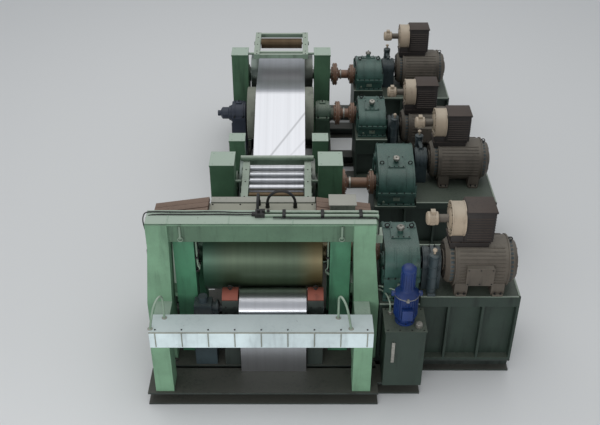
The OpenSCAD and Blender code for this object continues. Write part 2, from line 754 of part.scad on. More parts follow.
// A reducer of drive d: a casing over two gears, split at the output shaft
module reducer(d) color(deep_green) {
  x0 = drive_x(d);
  x1 = x0 + d[4];
  s = d[2];
  translate([0, d[0], d[1]]) difference() {
    union() {
      slab_x(x0, x1) polygon([for (p = casing_outline(d)) [s * p[0], p[1]]]);
      slab_x(x0 - 10, x1 + 10)
        for (z = [-d[10], -25])
          translate([min(-s * (d[6] + casing_foot), s * (d[5] + d[7] + casing_foot)), z])
            square([d[6] + d[5] + d[7] + 2 * casing_foot, z < -25 ? 35 : 50]);
      bar_x(out_r + 90, x0 - boss_t, x1 + boss_t);
      translate([0, s * d[5], d[8]]) bar_x(out_r + 40, x0 - boss_t, x1 + boss_t);
      for (x = [x0, x1]) for (y = [85 - d[6], out_r + 90 + stud_r + 25, d[5] + d[7] - 100])
        translate([x, s * y, -120]) cylinder(r = stud_r, h = 260, $fn = small_fn);
      rotate([s * lean(d), 0, 0]) translate([x0 + d[4] / 2, s * 150, d[6]]) {
        translate([-150, -140, -30]) cube([300, 280, 50]);
        cylinder(r = 45, h = 80, $fn = small_fn);
      }
    }
    bar_x(out_r + run_gap, x0 - 60, x0 + 80, roll_fn);
  }
}

// A direct current motor of drive d, with its feet and terminal box
module motor(d) color(motor_brown) {
  x0 = motor_x(d);
  translate([0, input_y(d), input_z(d)]) {
    turned_x([
      [0, x0 - 40], [60, x0 - 40], [60, x0], [motor_r - 90, x0], [motor_r - 40, x0 + 60], [motor_r - 40, x0 + 130],
      [motor_r, x0 + 130], [motor_r, x0 + motor_l - 130], [motor_r - 40, x0 + motor_l - 130],
      [motor_r - 40, x0 + motor_l - 60], [motor_r - 90, x0 + motor_l], [0, x0 + motor_l]
    ]);
    for (x = [x0 + 160, x0 + motor_l - 360])
      block([x, -motor_r + 40, -shaft_h], [x + 200, motor_r - 40, -motor_r / 2]);
    block([x0 + 300, d[2] * motor_r - 60, -140], [x0 + 700, d[2] * motor_r + 60, 160]);
  }
}

// The cooling blower on top of a motor
module blower(d) {
  x0 = motor_x(d) + 190;
  translate([0, input_y(d), input_z(d) + motor_r + scroll_r + 120]) {
    bar_x(scroll_r, x0, x0 + 210, roll_fn);
    bar_x(90, x0 - 80, x0);
    bar_x(110, x0 - 200, x0 - 80);
    block([x0 + 210, -190, -scroll_r - 40], [x0 + 460, 190, 190]);
    block([x0, -170, -scroll_r - 180], [x0 + 420, 170, -scroll_r + 80]);
  }
}

module motor_blowers() color(band_tan)
  difference() {
    for (d = DRIVES) blower(d);
    for (d = DRIVES)
      translate([0, input_y(d), input_z(d)]) bar_x(motor_r, motor_x(d), motor_x(d) + motor_l, roll_fn);
  }

// The parked brake and the guard over the fast coupling
module brake_units() color(dark_steel)
  for (d = DRIVES) {
    x0 = drive_x(d) + d[4] + stud_r + 10;
    x1 = motor_x(d) - 50;
    xm = (x0 + x1) / 2;
    y1 = d[2] * brake_arm;
    y2 = d[2] * (brake_arm + 90);
    translate([0, input_y(d), input_z(d)]) {
      bar_x(55, drive_x(d) + d[4] + boss_t, x0, small_fn);
      slab_x(x0, x1) {
        circle(r = 200, $fn = roll_fn);
        translate([-200, -shaft_h]) square([400, shaft_h]);
      }
      translate([xm, y1, -shaft_h]) cylinder(r = 70, h = 720, $fn = small_fn);
      block([xm - 30, min(0, y1), 200], [xm + 30, max(0, y1), 250]);
      block([xm - 30, -30, 150], [xm + 30, 30, 250]);
      block([xm - 60, min(0, y2), -shaft_h], [xm + 60, max(0, y2), -shaft_h + 60]);
    }
  }

module drive_bases() color(deep_green)
  for (d = DRIVES) {
    x0 = drive_x(d) + base_x0;
    y0 = base_y(d) - base_w(d) / 2;
    step_x = drive_x(d) + d[4] + 30;
    bay = (base_end(d) - x0 - rib_t) / 4;
    difference() {
      union() {
        block([x0, y0, bed_h], [step_x, y0 + base_w(d), casing_base(d)]);
        block([step_x, y0, bed_h], [base_end(d), y0 + base_w(d), motor_base(d)]);
      }
      for (i = [0 : 3]) for (s = [0, 1])
        translate([x0 + rib_t + i * bay, y0 + s * (base_w(d) - 120) - (1 - s) * 1, bed_h + 40])
          cube([bay - rib_t, 121, min(casing_base(d), motor_base(d)) - bed_h - 80]);
    }
  }

module pump_tank() color(deep_green) {
  block([pump_x - tank_w / 2, pump_y - tank_d / 2, bed_h], [pump_x + tank_w / 2, pump_y + tank_d / 2, tank_top]);
  block([pump_x - tank_w / 2 - 15, pump_y - tank_d / 2 - 15, tank_top], [pump_x + tank_w / 2 + 15, pump_y + tank_d / 2 + 15, tank_top + 20]);
}

module pump_motor() color(pump_blue)
  translate([pump_x, pump_y, tank_top + 20])
    rotate_extrude($fn = tube_fn) polygon([
      [0, 0], [150, 0], [150, 25], [120, 40], [120, 150], [190, 165], [190, 190], [180, 190],
      [180, 760], [190, 760], [190, 960], [120, 1020], [0, 1030]
    ]);

bed_rails();
bed_crossbeams();
stand_soles();
pedestals();
roll_bearings();
drum_bearings();
rear_guide_frame();
front_guide_frame();
guide_crossbars();
rear_guide_roller();
for (i = [1 : 5])
  front_guide_roller(i);
entry_roll();
entry_spindle();
big_drum();
drum_spindle();
front_roll();
front_spindle();
upper_roll();
upper_spindle();
pass_line_roll();
steel_strip();
stand_posts();
housing_posts();
stand_top_beam();
stand_rear_ties();
balance_box();
sloping_covers();
upper_roll_chocks();
pass_roll_chocks();
chock_seats();
front_table();
table_supports();
grab_rails();
lifting_hooks();
beam_conduits();
hose_manifold();
beam_hoses();
cover_brackets();
pass_roll_unit();
for (i = [1 : 4])
  reducer(DRIVES[i - 1]);
for (i = [1 : 4])
  motor(DRIVES[i - 1]);
motor_blowers();
brake_units();
drive_bases();
pump_tank();
pump_motor();
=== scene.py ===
"""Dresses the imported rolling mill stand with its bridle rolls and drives.

Places and sizes are in metres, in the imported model's frame.
"""

import math
from collections import namedtuple

import bmesh
import bpy
from mathutils import Matrix, Vector


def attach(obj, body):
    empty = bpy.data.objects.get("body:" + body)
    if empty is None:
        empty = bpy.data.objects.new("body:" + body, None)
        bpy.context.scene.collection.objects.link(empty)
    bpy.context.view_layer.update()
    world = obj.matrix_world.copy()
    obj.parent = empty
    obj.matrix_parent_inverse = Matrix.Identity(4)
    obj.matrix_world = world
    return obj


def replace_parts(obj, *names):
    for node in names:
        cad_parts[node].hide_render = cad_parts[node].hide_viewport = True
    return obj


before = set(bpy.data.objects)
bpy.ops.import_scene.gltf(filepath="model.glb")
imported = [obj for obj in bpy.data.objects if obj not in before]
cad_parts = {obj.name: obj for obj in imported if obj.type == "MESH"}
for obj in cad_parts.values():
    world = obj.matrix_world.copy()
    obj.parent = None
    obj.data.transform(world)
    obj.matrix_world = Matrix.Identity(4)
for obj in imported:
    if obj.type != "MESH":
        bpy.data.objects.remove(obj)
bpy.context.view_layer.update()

# Every material by its name
FINISH = {}


class Field:
    """A value, vector or colour inside a finish. Arithmetic on it adds Math nodes."""

    def __init__(self, finish, socket):
        self.finish = finish
        self.socket = socket

    def __add__(self, other):
        return self.finish.calc("ADD", self, other)

    __radd__ = __add__

    def __mul__(self, other):
        return self.finish.calc("MULTIPLY", self, other)

    __rmul__ = __mul__

    def __sub__(self, other):
        return self.finish.calc("SUBTRACT", self, other)

    def __rsub__(self, other):
        return self.finish.calc("SUBTRACT", other, self)

    def over(self, low, high):
        """0 below low, 1 above high, and smooth between."""
        return self.finish.add(
            "ShaderNodeMapRange",
            {"interpolation_type": "SMOOTHSTEP"},
            {0: self, 1: low, 2: high, 3: 0.0, 4: 1.0},
        )


class Finish:
    """A material in the making, with one surface shader."""

    def __init__(self, name):
        self.name = name
        self.material = bpy.data.materials.new(name)
        self.material.use_nodes = True
        self.tree = self.material.node_tree
        self.surface = self.tree.nodes["Principled BSDF"]
        self.place = self.add("ShaderNodeTexCoord", {}, {}, "Object")

    def add(self, kind, settings, inputs, output=0):
        """A node of this kind, with its settings and the values or links of its sockets."""
        node = self.tree.nodes.new(kind)
        for key, value in settings.items():
            setattr(node, key, value)
        for key, value in inputs.items():
            self.put(node.inputs[key], value)
        return Field(self, node.outputs[output])

    def put(self, socket, value):
        if isinstance(value, Field):
            self.tree.links.new(value.socket, socket)
        elif socket.type == "RGBA" and len(value) == 3:
            socket.default_value = (*value, 1.0)
        else:
            socket.default_value = value

    def set(self, **values):
        """Fills the surface shader's sockets and lists the material in FINISH."""
        for key, value in values.items():
            self.put(self.surface.inputs[key.replace("_", " ")], value)
        FINISH[self.name] = self.material

    def calc(self, operation, *values):
        return self.add("ShaderNodeMath", {"operation": operation}, dict(enumerate(values)))

    def noise(self, scale, detail=4.0, rough=0.55, stretch=None):
        where = self.place
        if stretch:
            where = self.add("ShaderNodeMapping", {}, {"Vector": where, "Scale": stretch})
        return self.add(
            "ShaderNodeTexNoise",
            {},
            {"Vector": where, "Scale": scale, "Detail": detail, "Roughness": rough},
        )

    def mix(self, mask, below, above):
        """One colour over another. Sockets 6 and 7 and output 2 are the node's colours."""
        return self.add(
            "ShaderNodeMix",
            {"data_type": "RGBA", "clamp_factor": True},
            {0: mask, 6: below, 7: above},
            2,
        )

    def axis(self, which, field=None):
        return self.add("ShaderNodeSeparateXYZ", {}, {0: field or self.place}, which)

    def between(self, which, low, high, fade=0.01):
        """1 where the place along one axis lies between low and high."""
        along = self.axis(which)
        return along.over(low - fade, low) * (1 - along.over(high, high + fade))

    def facing_up(self):
        return self.axis("Z", self.add("ShaderNodeNewGeometry", {}, {}, "Normal"))

    def bump(self, height, depth, strength=1.0, edges=None):
        """A bump from height, on top of the normal of edges where it is given."""
        inputs = {"Height": height, "Distance": depth, "Strength": strength}
        if edges:
            inputs["Normal"] = edges
        return self.add("ShaderNodeBump", {}, inputs)

    def worn_normal(self, height, depth, radius=0.006):
        """A bump on top of edges rounded by radius."""
        edges = self.add("ShaderNodeBevel", {"samples": 4}, {"Radius": radius})
        return self.bump(height, depth, edges=edges)


def tone(red, green, blue):
    """A colour as it looks on a screen, from 0 to 255, as the linear numbers of a shader."""
    return tuple(
        c / 3294.6 if c < 10.3 else ((c / 255 + 0.055) / 1.055) ** 2.4 for c in (red, green, blue)
    )


def shade(colour, by):
    """The colour darkened or lightened by a factor."""
    return tuple(min(1.0, c * by) for c in colour)


def paint(name, colour, dust=None, dirt=0.5, chips=0.3, rough=0.5, dust_share=0.6):
    """Machine paint: uneven in tone, streaked with dirt, dusty on top and chipped to steel."""
    f = Finish(name)
    cloud = f.noise(1.7, 5.0, 0.6)
    fine = f.noise(26.0, 6.0, 0.65)
    streak = f.noise(1.0, 5.0, 0.6, (7.0, 7.0, 0.9))
    body = f.mix(cloud.over(0.3, 0.72), shade(colour, 0.84), shade(colour, 1.14))
    body = f.mix(streak.over(0.5, 0.74) * dirt, body, shade(colour, 0.34))
    body = f.mix(fine.over(0.57, 0.7) * (0.45 * dirt), body, shade(colour, 0.5))
    if dust:
        up = f.facing_up()
        cover = up.over(0.35, 0.9) * (fine * 0.9 + cloud * 0.5).over(0.35, 0.72) * dust_share
        body = f.mix(cover + up.over(0.5, 0.95) * (0.35 * dust_share), body, dust)
    chip_edge = 0.685 - 0.05 * chips
    chip = f.noise(9.0, 8.0, 0.72).over(chip_edge, chip_edge + 0.035)
    bare = f.mix(fine.over(0.4, 0.6), tone(92, 80, 68), tone(46, 40, 36))
    f.set(
        Base_Color=f.mix(chip * min(1.0, chips * 2.2), body, bare),
        Roughness=rough + cloud * 0.16 + chip * 0.12,
        Normal=f.worn_normal(fine * 0.5 - chip * 0.8 + f.noise(90.0, 2.0) * 0.3, 0.0012),
        Specular_IOR_Level=0.4,
    )


def rolled_steel(
    name, colour, rough, lines, stain=None, stain_share=0.3,
    mottle=1.0, tints=(), painted_reflection_lines=(), metallic=1.0,
):
    """Polished steel with fine lines round the roll or along the strip.

    A tint is (start, stop, share, colour) and grows from start to stop along x.
    A painted reflection line is (a, b, c, share): a dark line of painted reflection where a * x + b
    * y + c is 0.
    """
    f = Finish(name)
    across = f.noise(1.0, 5.0, 0.6, (9.0, 0.0, 0.0))
    hair = f.noise(1.0, 3.0, 0.7, (160.0, 0.4, 0.4))
    cloud = f.noise(1.3, 3.0, 0.5)
    metal = f.mix(across.over(0.3, 0.72) * lines, colour, shade(colour, 0.66))
    metal = f.mix(hair.over(0.45, 0.8) * (0.35 * lines), metal, shade(colour, 0.5))
    if stain:
        metal = f.mix(cloud.over(0.42, 0.68) * stain_share, metal, stain)
    for start, stop, share, tint in tints:
        metal = f.mix(f.axis("X").over(start, stop) * share, metal, tint)
    # Dark lines of painted reflection, where a * x + b * y + c is 0.
    for a, b, c, share in painted_reflection_lines:
        off = f.calc("ABSOLUTE", f.axis("X") * a + f.axis("Y") * b + c)
        metal = f.mix((1 - off.over(0.0, 0.035)) * share, metal, shade(colour, 0.3))
    f.set(
        Base_Color=metal,
        Metallic=metallic,
        Roughness=rough + across * 0.1 + cloud * (0.1 * mottle),
        Normal=f.bump(hair, 0.0001, 0.3),
    )


def cast_paint(name, colour, dust=None, rough=0.42, idle=None):
    """Thick gloss paint on castings, oily and lumpy.

    idle is the darker colour of the drum's bearing on the side without a drive.
    """
    f = Finish(name)
    cloud = f.noise(3.2, 5.0, 0.6)
    lumps = f.noise(38.0, 3.0, 0.5)
    fine = f.noise(60.0, 5.0, 0.6)
    oil = f.noise(4.5, 6.0, 0.7, (1.0, 1.0, 0.45)).over(0.5, 0.72)
    body = f.mix(cloud.over(0.3, 0.7), shade(colour, 0.8), shade(colour, 1.16))
    body = f.mix(oil * 0.62, body, shade(colour, 0.3))
    if dust:
        settled = f.facing_up().over(0.45, 0.95) * (fine.over(0.35, 0.62) * 0.5 + 0.16)
        body = f.mix(settled, body, dust)
    chip = f.noise(14.0, 8.0, 0.72).over(0.66, 0.7)
    body = f.mix(chip * 0.8, body, tone(58, 50, 44))
    if idle:
        at_bearing = f.between("X", -2.0, -0.7) * f.between("Y", 1.4, 2.4)
        body = f.mix(at_bearing * 0.92, body, idle)
    f.set(
        Base_Color=body,
        Roughness=rough - oil * 0.14 + fine * 0.14,
        Normal=f.worn_normal(lumps * 0.7 + fine * 0.3 - chip, 0.0015, 0.008),
        Specular_IOR_Level=0.5,
    )


def bare_steel(name, colour, rough=0.42):
    """Bare or blackened steel of bolts, bars and fittings."""
    f = Finish(name)
    cloud = f.noise(14.0, 6.0, 0.7)
    body = f.mix(cloud.over(0.4, 0.66), colour, shade(colour, 0.45))
    f.set(Base_Color=body, Metallic=0.85, Roughness=rough + cloud * 0.25)


def hose_rubber(name, colour):
    """Black cover of hydraulic hose, slightly dusty."""
    f = Finish(name)
    dusty = f.noise(30.0, 5.0, 0.7).over(0.5, 0.75)
    f.set(
        Base_Color=f.mix(dusty * 0.4, colour, tone(86, 82, 76)),
        Roughness=0.52 + dusty * 0.2,
        Normal=f.bump(f.noise(160.0, 2.0), 0.0008, 0.7),
    )


paint("post_paint", tone(110, 146, 118), tone(170, 186, 172), rough=0.55)
paint("housing_paint", tone(68, 122, 92), tone(128, 126, 116), rough=0.42)
paint("beam_paint", tone(82, 110, 88), tone(164, 180, 165), dirt=0.7, chips=0.45, dust_share=0.9)
paint(
    "pedestal_paint", tone(72, 106, 80), tone(164, 180, 166), dirt=0.55, chips=0.35, dust_share=1.0
)
paint("frame_paint", tone(124, 144, 126), tone(162, 174, 160), dust_share=0.7)
paint(
    "box_paint", tone(132, 134, 122), tone(152, 152, 138),
    dirt=0.9, chips=0.55, rough=0.62, dust_share=0.8,
)
paint("cover_paint", tone(92, 70, 60), tone(128, 108, 94), dirt=0.8, chips=0.6, rough=0.62)
paint("red_primer", tone(134, 74, 60), dirt=0.6, rough=0.62)
paint("bed_paint", tone(46, 54, 50), tone(76, 76, 70), dirt=0.8, chips=0.5, dust_share=0.7)
paint(
    "base_paint", tone(44, 58, 50), tone(84, 92, 82),
    dirt=0.8, chips=0.4, rough=0.45, dust_share=0.7,
)
paint("motor_paint", tone(84, 77, 68), tone(112, 106, 96), dirt=0.7, chips=0.4, dust_share=0.7)
paint("band_paint", tone(168, 152, 132), tone(184, 172, 154), chips=0.35, rough=0.55)
paint("fan_paint", tone(40, 35, 33), tone(78, 66, 58), dirt=0.6, chips=0.4, dust_share=0.5)
paint("table_paint", tone(198, 212, 214), tone(206, 216, 216), dirt=0.35, rough=0.45)
paint("drum_cover", tone(124, 128, 116), chips=0.1, rough=0.6)
paint("edge_paint", tone(110, 124, 110), tone(144, 154, 142), chips=0.5, dust_share=0.8)
paint("trim_paint", tone(134, 138, 128), tone(160, 160, 150), dust_share=0.8)
cast_paint("reducer_paint", tone(52, 84, 76), tone(92, 112, 104), rough=0.38)
cast_paint("bearing_paint", tone(66, 88, 72), tone(128, 138, 124), idle=tone(34, 40, 60))
cast_paint("coupling_paint", tone(124, 92, 72), tone(134, 112, 96), rough=0.46)
cast_paint("brake_paint", tone(50, 62, 66), tone(84, 92, 90), rough=0.38)
cast_paint("pump_paint", tone(10, 42, 98), rough=0.34)
# The strip's three dark diagonal lines are painted reflections.
rolled_steel(
    "strip_steel", (0.60, 0.61, 0.64), rough=0.26, lines=0.3, mottle=0.0,
    painted_reflection_lines=(
        (0.832, -0.555, 0.267, 0.5), (0.511, -0.859, -0.084, 0.4), (0.78, -0.62, -0.03, 0.22)
    ),
)
rolled_steel(
    "roll_chrome", (0.62, 0.63, 0.66), rough=0.24, lines=0.5,
    stain=tone(110, 104, 92), stain_share=0.2,
)
rolled_steel(
    "bridle_roll", (0.52, 0.53, 0.55), rough=0.3, lines=0.5,
    stain=tone(96, 100, 86), stain_share=0.4,
    tints=((-0.5, -0.53, 0.75, tone(78, 96, 82)), (0.5, 0.53, 0.75, tone(86, 92, 80))),
)
# The teal tint towards the upper roll's left end and the amber tint towards its right end are
# painted reflections.
rolled_steel(
    "upper_roll_skin", tone(66, 82, 62), rough=0.3, lines=0.5,
    stain=tone(50, 54, 38), stain_share=0.5, metallic=0.45,
    tints=((-0.62, -1.05, 0.55, tone(38, 84, 68)), (0.3, 0.72, 0.5, tone(120, 96, 56))),
)
rolled_steel(
    "bronze_roller", tone(104, 90, 72), rough=0.4, lines=0.6,
    stain=tone(66, 54, 42), stain_share=0.5,
)
bare_steel("dark_iron", tone(62, 62, 62))
bare_steel("bright_bolt", tone(170, 168, 160), rough=0.34)
hose_rubber("hose_black", tone(22, 23, 26))
Finish("floor_pale").set(Base_Color=(0.7, 0.71, 0.71), Roughness=0.85)

NODES_IN = {
    "bed_paint": "bed_rails bed_crossbeams stand_soles upper_roll_chocks chock_seats",
    "pedestal_paint": "pedestals",
    "bearing_paint": "roll_bearings drum_bearings",
    "frame_paint": "rear_guide_frame front_guide_frame guide_crossbars grab_rails"
                   " lifting_hooks beam_conduits",
    "bronze_roller": "rear_guide_roller front_guide_roller_5",
    "roll_chrome": "pass_line_roll front_guide_roller_1 front_guide_roller_2"
                   " front_guide_roller_3 front_guide_roller_4",
    "bridle_roll": "entry_roll front_roll",
    "drum_cover": "big_drum",
    "upper_roll_skin": "upper_roll",
    "coupling_paint": "entry_spindle drum_spindle front_spindle upper_spindle",
    "strip_steel": "steel_strip",
    "post_paint": "stand_posts stand_rear_ties table_supports",
    "housing_paint": "housing_posts",
    "beam_paint": "stand_top_beam",
    "box_paint": "balance_box",
    "cover_paint": "sloping_covers cover_brackets",
    "red_primer": "pass_roll_chocks",
    "table_paint": "front_table",
    "dark_iron": "hose_manifold",
    "hose_black": "beam_hoses",
    "fan_paint": "motor_blowers",
    "brake_paint": "pass_roll_unit brake_units",
    "base_paint": "drive_bases pump_tank",
    "pump_paint": "pump_motor",
    "reducer_paint": "reducer_1 reducer_2 reducer_3 reducer_4",
    "motor_paint": "motor_1 motor_2 motor_3 motor_4",
}
NODE_FINISH = {node: finish for finish, nodes in NODES_IN.items() for node in nodes.split()}
for node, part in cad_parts.items():
    part.data.materials.clear()
    part.data.materials.append(FINISH[NODE_FINISH[node]])

CAMERA_DOWN, CAMERA_TURN = 34.5, 0.04
camera = bpy.data.objects.new("camera", bpy.data.cameras.new("camera"))
bpy.context.scene.collection.objects.link(camera)
camera.location = (0.42, -14.5, 10.1)
camera.rotation_euler = (math.radians(90 - CAMERA_DOWN), 0, math.radians(CAMERA_TURN))
camera.data.sensor_width = 36
camera.data.lens = 52
camera.data.clip_end = 200
bpy.context.scene.camera = camera

UP, RIGHT, LEFT = Vector((0, 0, 1)), (1, 0, 0), (-1, 0, 0)
SIDES = (-1, 1)
STEEL_EDGE = 0.003
SMOOTH_BELOW = math.radians(38)
# Shapes that were turned before, by outline and number of sides
TURNED = {}


def add_copy(shape, small, matrix):
    """Adds a small shape to a larger one, moved by matrix, and frees it."""
    mesh = bpy.data.meshes.new("copy")
    small.to_mesh(mesh)
    small.free()
    mesh.transform(matrix)
    shape.from_mesh(mesh)
    bpy.data.meshes.remove(mesh)


def slab(shape, middle, size, edge=STEEL_EDGE, turn=Matrix(), about=Matrix()):
    """A box by its middle and size, with bevelled edges.

    turn is a matrix about its middle, and about is one about the origin.
    """
    small = bmesh.new()
    made = bmesh.ops.create_cube(small, size=1.0)["verts"]
    bmesh.ops.transform(small, matrix=Matrix.Diagonal((*size, 1.0)), verts=made)
    bmesh.ops.bevel(
        small, geom=small.edges[:], offset=edge, segments=2, profile=0.5, affect="EDGES",
        material=-1,
    )
    add_copy(shape, small, about @ Matrix.Translation(middle) @ turn)


def block(shape, low, high, edge=STEEL_EDGE, turn=Matrix(), about=Matrix()):
    """A box from its lowest to its highest corner."""
    low, high = Vector(low), Vector(high)
    slab(shape, (low + high) / 2, high - low, edge, turn, about)


def turned(shape, place, axis, outline, sides=32):
    """A solid turned about axis through place, from points (radius, distance along the axis)."""
    key = (tuple(outline), sides)
    if key not in TURNED:
        small = bmesh.new()
        verts = [small.verts.new((radius, 0, along)) for radius, along in outline]
        edges = [small.edges.new(pair) for pair in zip(verts, verts[1:])]
        bmesh.ops.spin(
            small, geom=verts + edges, cent=(0, 0, 0), axis=(0, 0, 1), angle=math.tau,
            steps=sides, use_merge=True,
        )
        bmesh.ops.remove_doubles(small, verts=small.verts, dist=0.00002)
        TURNED[key] = bpy.data.meshes.new("turned")
        small.to_mesh(TURNED[key])
        small.free()
    mesh = TURNED[key].copy()
    upright = Vector(axis).to_track_quat("Z", "Y").to_matrix().to_4x4()
    mesh.transform(Matrix.Translation(place) @ upright)
    shape.from_mesh(mesh)
    bpy.data.meshes.remove(mesh)


def disc(shape, place, axis, radius, thick, edge=STEEL_EDGE, sides=32):
    """A round plate or short rod that starts at place, with a chamfered rim."""
    edge = min(edge, thick * 0.4, radius * 0.4)
    rim = [(radius, 0), (radius, thick - edge), (radius - edge, thick)]
    turned(shape, place, axis, [(0, 0), *rim, (0, thick)], sides)


def ring(shape, place, axis, inner, outer, thick, sides=40):
    """A flat ring that starts at place."""
    section = [(inner, 0), (outer, 0), (outer, thick), (inner, thick), (inner, 0)]
    turned(shape, place, axis, section, sides)


def hex_bolt(shape, place, axis, size=0.012, stem=0.0):
    """A hexagon head or nut of radius size on a washer, standing on place."""
    washer = [(0, 0), (size * 1.35, 0), (size * 1.35, size * 0.2), (size, size * 0.2)]
    head = [(size, size * 0.85), (size * 0.8, size), (size * 0.45, size)]
    end = [(size * 0.45, size + stem), (0, size + stem)]
    turned(shape, place, axis, washer + head + end, 6)


def bolt_ring(shape, place, axis, radius, count, size, start=0.0, stem=0.0):
    """Bolts evenly spaced on a circle about axis."""
    axis = Vector(axis).normalized()
    side = axis.orthogonal().normalized()
    for i in range(count):
        arm = Matrix.Rotation(start + math.tau * i / count, 3, axis) @ side
        hex_bolt(shape, Vector(place) + arm * radius, axis, size, stem)


def eye_bolt(shape, place, size):
    """A lifting eye standing on place."""
    disc(shape, place, UP, size * 0.75, size * 0.5, sides=16)
    middle = Vector(place) + Vector((0, 0, size * 1.35))
    loop = [
        (size * (1 + 0.28 * math.cos(a)), size * 0.28 * math.sin(a))
        for a in (math.tau * i / 8 for i in range(9))
    ]
    turned(shape, middle, (0, 1, 0), loop, 20)


def arc_band(shape, centre, x, width, inner, outer, start, sweep):
    """A curved rib about an axis along x, from angle start over sweep, both in degrees."""
    a = math.radians(start)
    arm = Vector((0, math.cos(a), math.sin(a)))
    small = bmesh.new()
    corners = [
        small.verts.new(arm * radius + Vector((across, 0, 0)))
        for radius, across in ((inner, x), (outer, x), (outer, x + width), (inner, x + width))
    ]
    face = small.faces.new(corners)
    bmesh.ops.spin(
        small, geom=[face, *face.verts, *face.edges], cent=(0, 0, 0), axis=(1, 0, 0),
        angle=math.radians(sweep), steps=max(3, int(abs(sweep) / 6)),
    )
    add_copy(shape, small, Matrix.Translation((0, *centre)))


def spoke(shape, centre, x0, x1, r0, r1, wide, angle):
    """A rib that points outwards from an axis along x."""
    turn = Matrix.Translation((0, *centre)) @ Matrix.Rotation(angle, 4, "X")
    block(shape, (x0, -wide / 2, r0), (x1, wide / 2, r1), 0.002, about=turn)


def placed(data, name, finish, body="root"):
    """An object at the origin, riding on body and finish."""
    data.materials.append(FINISH[finish])
    piece = bpy.data.objects.new(name, data)
    bpy.context.scene.collection.objects.link(piece)
    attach(piece, body)
    return piece


def finished(shape, name, finish, body="root"):
    """One object from shape, with smooth faces between sharp edges."""
    bmesh.ops.recalc_face_normals(shape, faces=shape.faces)
    data = bpy.data.meshes.new(name)
    shape.to_mesh(data)
    shape.free()
    for face in data.polygons:
        face.use_smooth = True
    data.set_sharp_from_angle(angle=SMOOTH_BELOW)
    return placed(data, name, finish, body)


def round_line(name, radius, roundness):
    """An empty curve with a round section and closed ends."""
    line = bpy.data.curves.new(name, "CURVE")
    line.dimensions = "3D"
    line.bevel_depth = radius
    line.bevel_resolution = roundness
    line.use_fill_caps = True
    return line


def add_run(line, kind, places):
    """One spline of this kind through places."""
    run = line.splines.new(kind)
    run.points.add(len(places) - 1)
    for point, place in zip(run.points, places):
        point.co = (*place, 1.0)
    return run


def piping(name, runs, radius, finish):
    """Fixed round pipes with soft bends along runs of points, as one piece."""
    line = round_line(name, radius, 3)
    line.resolution_u = 6
    for places in runs:
        run = add_run(line, "NURBS", places)
        run.order_u = 3
        run.use_endpoint_u = True
    return placed(line, name, finish)


def hose(name, places, radius):
    """A stiff hydraulic hose along places."""
    line = round_line(name, radius, 4)
    add_run(line, "POLY", places)
    piece = placed(line, name, "hose_black")
    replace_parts(piece, "beam_hoses")


# Hoses over the balance box with their fittings, in place of the plain ones
BOX_TOP, ARCH_FOOT, HOSE_START, HOSE_R = 2.7, 0.09, 0.05, 0.021
HOSE_ENDS = [((-0.08, -3.6), (0.34, -3.6)), ((-0.215, -3.92), (-0.215, -3.53))]
COLLAR = [(0, 0), (0.026, 0), (0.03, 0.01), (0.03, 0.05), (0.025, 0.06), (0, 0.06)]
fittings = bmesh.new()
for number, (a, b) in enumerate(HOSE_ENDS, 1):
    a, b = Vector((*a, BOX_TOP)), Vector((*b, BOX_TOP))
    middle, half = (a + b) / 2 + UP * ARCH_FOOT, (a - b) / 2
    arch = []
    for k in range(33):
        angle = math.pi * k / 32
        arch.append(middle + half * math.cos(angle) + UP * (half.length * math.sin(angle)))
    hose(f"box_hose_{number}", [a + UP * HOSE_START, *arch, b + UP * HOSE_START], HOSE_R)
    for foot in (a, b):
        turned(fittings, foot, UP, [(0, 0), (0.032, 0), (0.032, 0.03), (0, 0.03)], 6)
        turned(fittings, foot + UP * 0.03, UP, COLLAR, 20)
ends = finished(fittings, "hose_fittings", "dark_iron")
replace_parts(ends, "beam_hoses")

BED_TOP, RAIL_IN, RAIL_OUT = 0.25, 0.735, 1.065
STAND_X, STAND_HALF, STAND_FRONT, BEAM_BACK = -0.155, 1.675, -4.33, -3.98
PASS_Y, PASS_Z = -4.2972, 1.3019
MOTOR_R, MOTOR_L, SHAFT_H, SCROLL_R = 0.39, 1.08, 0.42, 0.26


class Drive:
    """One drive's places, as in the part's source: shafts, casing, motor and base."""

    def __init__(
        self, body, y, z, side, x, width, gap, gear, pinion, rise, motor_x, depth, spindle_x
    ):
        self.body, self.y, self.z, self.side, self.x = body, y, z, side, x
        self.end, self.gap, self.gear, self.pinion = x + width, gap, gear, pinion
        self.in_y, self.in_z = y + side * gap, z + rise
        self.motor, self.floor, self.spindle = motor_x, z - depth, spindle_x
        up = max(0.0, rise)
        self.lean = math.atan2(up, gap) - math.asin((gear - pinion) / math.hypot(gap, up))
        self.base = self.in_z - SHAFT_H

    def on_slope(self, x, along, above):
        """A point above the casing's sloping top, along from the output shaft."""
        turn = Matrix.Rotation(self.side * self.lean, 3, "X")
        off_shaft = Vector((x, self.side * along, self.gear + above))
        return Vector((0, self.y, self.z)) + turn @ off_shaft


# The columns are those of Drive: the output shaft's y and z, the input shaft's side, the casing's
# x and width, the shafts' distance, the casing's two radii, the input shaft's rise, the motor's x,
# the base's depth under the output shaft and the spindle's x
DRIVES = [
    Drive("entry_roll_body", 3.7, 1.45, 1, 1.695, 0.56, 0.37, 0.35, 0.25, 0.0, 2.635, 0.23, 1.12),
    Drive("big_drum_body", 1.9, 1.4, -1, 1.625, 0.56, 0.37, 0.35, 0.25, -0.09, 2.515, 0.22, 1.12),
    Drive("front_roll_body", -0.85, 1.4, 1, 1.845, 0.67, 0.46, 0.39, 0.28, 0.25, 2.845, 0.25, 1.12),
    Drive("upper_roll_body", -3.5, 1.8, -1, 1.695, 0.53, 0.43, 0.46, 0.29, 0.165, 2.605, 0.4, 1.23),
]
